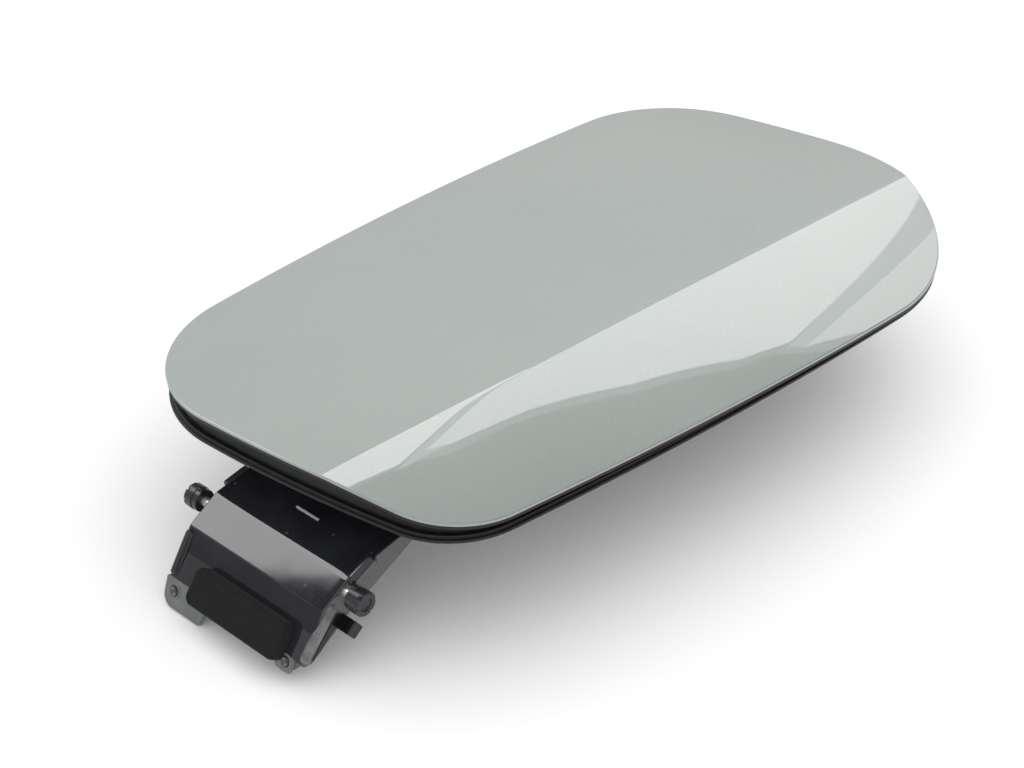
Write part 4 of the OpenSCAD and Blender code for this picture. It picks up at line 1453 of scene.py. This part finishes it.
@dataclass
class AxleSet:
    """Steel axle and its two bushes, which stay in the car while the flap swings.

    Sizes are in mm. The bush's outer end is dished (radii at its rim and floor, and depths there
    and at the middle); a notch starts at a cosine and deepens over the rest of the range.
    """

    axle_r: float = 1.3
    axle_edge: float = 0.3
    bush_r: float = 3.3
    collar_r: float = 3.1
    collar_l: float = 1.8
    bush_in: float = 27.7
    bush_l: float = 4.7
    axle_short: float = 0.8
    gap: float = 0.01
    tip_r: float = 0.02
    edges: tuple[float, ...] = (0.2, 0.12, 0.45, 0.2, 0.1)
    dish_r: Point = (1.9, 1.7)
    dish_deep: Point = (0.45, 0.5)
    longest: float = 0.25
    notches: int = 6
    notch_deep: float = 0.16
    notch_cut: Point = (0.72, 0.28)
    notch_l: float = 1.1
    notch_fade: float = 0.3
    notch_r: float = 2.0
    key_half: float = 0.8
    key_out: float = 0.5
    key_edge: float = 0.25
    key_end: float = 0.2

    def bush(self, side: int) -> list[Solid]:
        """One bush: radius r (1 - k n(a)) near its outer end, n(a) a row of narrow notches.

        Args:
            side: 1 for the left bush, -1 for the right one.

        Returns:
            Its solids.
        """
        out, journal = self.bush_in + self.bush_l, self.bush_in + self.collar_l
        inner, step, outer, rim, floor = self.edges
        profile = rounded_profile([
            (self.axle_r + self.gap, self.bush_in, 0), (self.collar_r, self.bush_in, inner),
            (self.collar_r, journal, 0), (self.bush_r, journal, step), (self.bush_r, out, outer),
            (self.dish_r[0], out, rim), (self.dish_r[1], out - self.dish_deep[0], floor),
            (self.tip_r, out - self.dish_deep[1], 0)], self.longest)
        count = Detail.ROUND.value * 3
        angle = np.arange(count) * 2 * math.pi / count
        start, span = self.notch_cut
        notch = np.clip(np.cos(self.notches * angle) - start, 0, 1) / span
        along = np.clip((profile[:, 1] - out + self.notch_l) / self.notch_fade, 0, 1)
        depth = self.notch_deep * along * (profile[:, 0] > self.notch_r)
        body = turned(profile, 1 - depth[:, None] * notch[None])
        half = self.key_half
        key = slab(fillet(box_corners(-half, -half, half, half), [self.key_edge] * 4),
                   self.bush_in, self.bush_in + self.collar_l, self.key_end, self.key_end)
        key_z = self.bush_r - half + self.key_out
        return [body.moved(np.diag([1.0, side, side]) @ ALONG_Y, AXLE_AT),
                key.moved(np.diag([1.0, side, 1.0]), (HINGE_X, 0.0, HINGE_Z + key_z))]

    def build(self, shop: Workshop) -> None:
        """Makes the axle and both bushes.

        Args:
            shop: Makes the objects.
        """
        half = self.bush_in + self.bush_l - self.axle_short
        axle = rod(half, self.axle_r, self.axle_edge, self.tip_r)
        shop.piece("ground_axle", [axle], AXLE_STEEL, "hinge_axle")
        for hand, side in (("left", 1), ("right", -1)):
            shop.piece(hand + "_notched_bush", self.bush(side), BUSH_PLASTIC, "bush_" + hand)


@dataclass
class StopPeg:
    """Square peg pressed into the arm's near side.

    Sizes are in mm; the place is measured from the axle.
    """

    side: float = 3.8
    long: float = 4.6
    corner_r: float = 0.45
    end_r: float = 0.4
    place: Point = (-1.4, -8.7)
    turn: float = 52.0
    arm_side: float = -25.0

    def build(self, shop: Workshop) -> None:
        """Makes the peg's head with softened edges.

        Args:
            shop: Makes the objects.
        """
        half = self.side / 2
        loop = fillet(box_corners(-half, -half, half, half), [self.corner_r] * 4, Detail.SMALL)
        head = slab(loop, self.arm_side - self.long, self.arm_side, self.end_r)
        x, z = hinge_at(*self.place)
        shop.piece("square_stop_peg", [head.moved(turn_about_y(self.turn), (x, 0.0, z))],
                   PEG_PLASTIC, "stop_peg")


class Hardware:
    """Nodes whose own shape is shown, each with its finish."""

    finishes: dict[str, Finish] = {
        "bond_bead": GLUE, "damping_pads": DAMPER, "inner_frame": FRAME_PLASTIC,
        "rubber_stops": STOP_RUBBER, "thread_inserts": BRASS, "arm_screws": ZINC,
        "latch_tower": LATCH_PLASTIC, "latch_screws": ZINC,
    }

    def build(self, shop: Workshop) -> None:
        """Dresses each node."""
        for node, finish in self.finishes.items():
            shop.dress(node, finish)


@dataclass(frozen=True)
class Pane:
    """Glowing pane overhead, seen in mirrors only.

    Args:
        name: Its name.
        radiance: Its brightness, 1 for white.
        plan: Its outline as (x, y) in metres in the panel's frame.
        above: How far it lies above the level of the panes, so that no two share a plane.
    """

    name: str
    radiance: float
    plan: Plan
    above: float = 0.0


# Laid out by tracing the photograph's reflections on hood and lower facet up to the panes' level:
# the key for the hood, three windows with two bars between them for the facet, two dim sheets.
PANES = (
    Pane("key_window", 6.0, ((-0.62, 0.85), (0.28, 1.26), (-0.08, 2.08), (-1.02, 1.74))),
    Pane("side_window_0", 5.6, (
        (0.68, 1.15), (0.855, 1.01), (1.20, 1.03), (1.20, 1.20), (0.70, 1.27))),
    Pane("side_window_1", 4.5, (
        (0.905, 0.985), (0.94, 0.94), (1.08, 0.85), (1.27, 0.69), (1.52, 0.54), (1.67, 0.49),
        (2.45, 0.51), (2.45, 0.72), (1.90, 0.80), (1.50, 0.95), (1.20, 1.00))),
    Pane("side_window_2", 3.7, (
        (1.70, 0.455), (1.76, 0.44), (1.94, 0.38), (2.30, 0.36), (2.50, 0.40), (2.50, 0.465),
        (1.90, 0.460))),
    Pane("window_bar_0", 2.2, ((0.84, 1.00), (0.92, 0.955), (1.20, 0.99), (1.20, 1.04)), 0.002),
    Pane("window_bar_1", 2.2, ((1.66, 0.485), (1.71, 0.455), (2.50, 0.44), (2.50, 0.53)), 0.002),
    Pane("dim_ceiling", 0.15, (
        (-0.20, -1.40), (2.80, -1.40), (2.80, 0.34), (2.30, 0.34), (1.94, 0.36), (1.74, 0.42),
        (1.60, 0.50), (1.50, 0.53), (1.26, 0.67), (1.07, 0.83), (0.92, 0.92), (0.86, 1.00),
        (0.68, 1.13), (-0.20, 1.13)), 0.004),
    Pane("dim_side", 0.15, ((-2.2, 0.405), (-0.42, 0.405), (-1.02, 1.74), (-2.2, 1.74)), 0.004),
)


@dataclass
class Studio:
    """Pale floor, panes overhead that only mirrors show, an even world and the photo's camera.

    Places are in the panel's frame: the camera's in mm, the rest in metres. The world's fill
    comes from fill_from and ranges between two factors; mirrored, it brightens over room_rise,
    the sine of the height above the horizon.
    """

    camera_at: Triple = (-385.56, -339.84, 302.95)
    look: Triple = (0.6021, 0.5770, -0.5519)
    lens: float = 77.34
    sensor: float = 36.0
    clip: Point = (0.01, 20.0)
    floor_size: float = 8.0
    floor_colour: str = "FAFAFA"
    floor_rough: float = 0.9
    floor_gloss: float = 0.1
    world_fill: float = 0.8
    fill_from: Triple = (0.2, -0.45, 0.87)
    fill_range: Point = (0.1, 1.9)
    horizon: float = 0.3
    room_rise: Point = (0.1, 0.38)
    level: float = 1.5

    def floor(self) -> None:
        """A plain pale floor that takes the object's shadow."""
        half = self.floor_size / 2
        made = bpy.data.materials.new("matt_floor")
        made.use_nodes = True
        shader = made.node_tree.nodes["Principled BSDF"]
        shader.inputs["Base Color"].default_value = linear(self.floor_colour)
        shader.inputs["Roughness"].default_value = self.floor_rough
        shader.inputs["Specular IOR Level"].default_value = self.floor_gloss
        self.sheet("floor", box_corners(-half, -half, half, half), 0.0, made)

    @staticmethod
    def sheet(name: str, plan: Sequence[Point], z: float,
              finish: bpy.types.Material) -> bpy.types.Object:
        """Flat sheet of the studio, facing up where its plan runs anticlockwise.

        Args:
            name: Name of the object.
            plan: Its outline as (x, y) in metres.
            z: Its height in metres.
            finish: Its material.

        Returns:
            The sheet.
        """
        mesh = bpy.data.meshes.new(name)
        mesh.from_pydata([(x, y, z) for x, y in plan], [], [tuple(range(len(plan)))])
        mesh.materials.append(finish)
        sheet = bpy.data.objects.new(name, mesh)
        bpy.context.scene.collection.objects.link(sheet)
        return sheet

    def hang(self, pane: Pane) -> None:
        """Hangs a pane overhead that faces down, clear from behind and without a shadow.

        Args:
            pane: The pane.
        """
        made = bpy.data.materials.new(pane.name)
        made.use_nodes = True
        tree = made.node_tree
        tree.nodes.clear()
        facing = add(tree, "NewGeometry").outputs["Backfacing"]
        glow = add(tree, "Emission", {"Strength": pane.radiance}).outputs[0]
        clear = add(tree, "BsdfTransparent").outputs[0]
        both = add(tree, "MixShader", links={0: facing, 1: glow, 2: clear})
        add(tree, "OutputMaterial", links={0: both.outputs[0]})
        dx, dy, dz = FRAME_SHIFT * MM
        plan = [(x + dx, y + dy) for x, y in pane.plan][::-1]
        sheet = self.sheet(pane.name, plan, self.level + pane.above + dz, made)
        sheet.visible_diffuse = sheet.visible_shadow = False

    def world(self) -> None:
        """White world where it is seen; mirrored, it darkens to the horizon as a room does."""
        world = bpy.data.worlds.new("studio")
        bpy.context.scene.world = world
        world.use_nodes = True
        tree = world.node_tree
        path = add(tree, "LightPath").outputs
        way = add(tree, "TexCoord").outputs["Generated"]
        height = add(tree, "SeparateXYZ", links={0: way}).outputs[2]
        start, end = self.room_rise
        room = add(tree, "MapRange", {"From Min": start, "From Max": end, "To Min": self.horizon},
                   {"Value": height}, interpolation_type="SMOOTHSTEP").outputs[0]
        front = add(tree, "VectorMath", {1: self.fill_from}, {0: way}, operation="DOT_PRODUCT")
        low, high = (factor * self.world_fill for factor in self.fill_range)
        fill = add(tree, "MapRange", {"From Min": -1.0, "To Min": low, "To Max": high},
                   {"Value": front.outputs["Value"]}).outputs[0]
        mirrored = add(tree, "Mix", links={0: path["Is Glossy Ray"], 2: fill, 3: room}).outputs[0]
        seen = add(tree, "Math", links={0: path["Is Camera Ray"], 1: path["Is Transmission Ray"]},
                   operation="MAXIMUM").outputs[0]
        strength = add(tree, "Mix", {3: 1.0}, {0: seen, 2: mirrored}).outputs[0]
        background = tree.nodes["Background"]
        background.inputs[0].default_value = (1, 1, 1, 1)
        tree.links.new(strength, background.inputs[1])

    def camera(self) -> None:
        """Camera at the photograph's place, with its long lens."""
        data = bpy.data.cameras.new("photo_view")
        data.lens, data.sensor_width = self.lens, self.sensor
        camera = bpy.data.objects.new("photo_view", data)
        bpy.context.scene.collection.objects.link(camera)
        camera.location = (np.array(self.camera_at) + FRAME_SHIFT) * MM
        camera.rotation_euler = Vector(self.look).to_track_quat("-Z", "Y").to_euler()
        data.clip_start, data.clip_end = self.clip
        bpy.context.scene.camera = camera

    def build(self) -> None:
        """Sets floor, world, panes and camera."""
        self.floor()
        self.world()
        for pane in PANES:
            self.hang(pane)
        self.camera()
        bpy.context.scene.view_settings.view_transform = "Standard"


def main() -> None:
    """Builds every piece in order and reports it."""
    logging.basicConfig(level=logging.INFO, format="%(name)s %(message)s")
    shop = Workshop()
    for assembly in (PaintedSkin(), RimSeal(), GooseneckArm(), PadPlate(), FoamPad(), AxleSet(),
                     StopPeg(), Hardware()):
        assembly.build(shop)
        log.info("%s done", type(assembly).__name__)
    Studio().build()


if __name__ == "__main__":
    main()
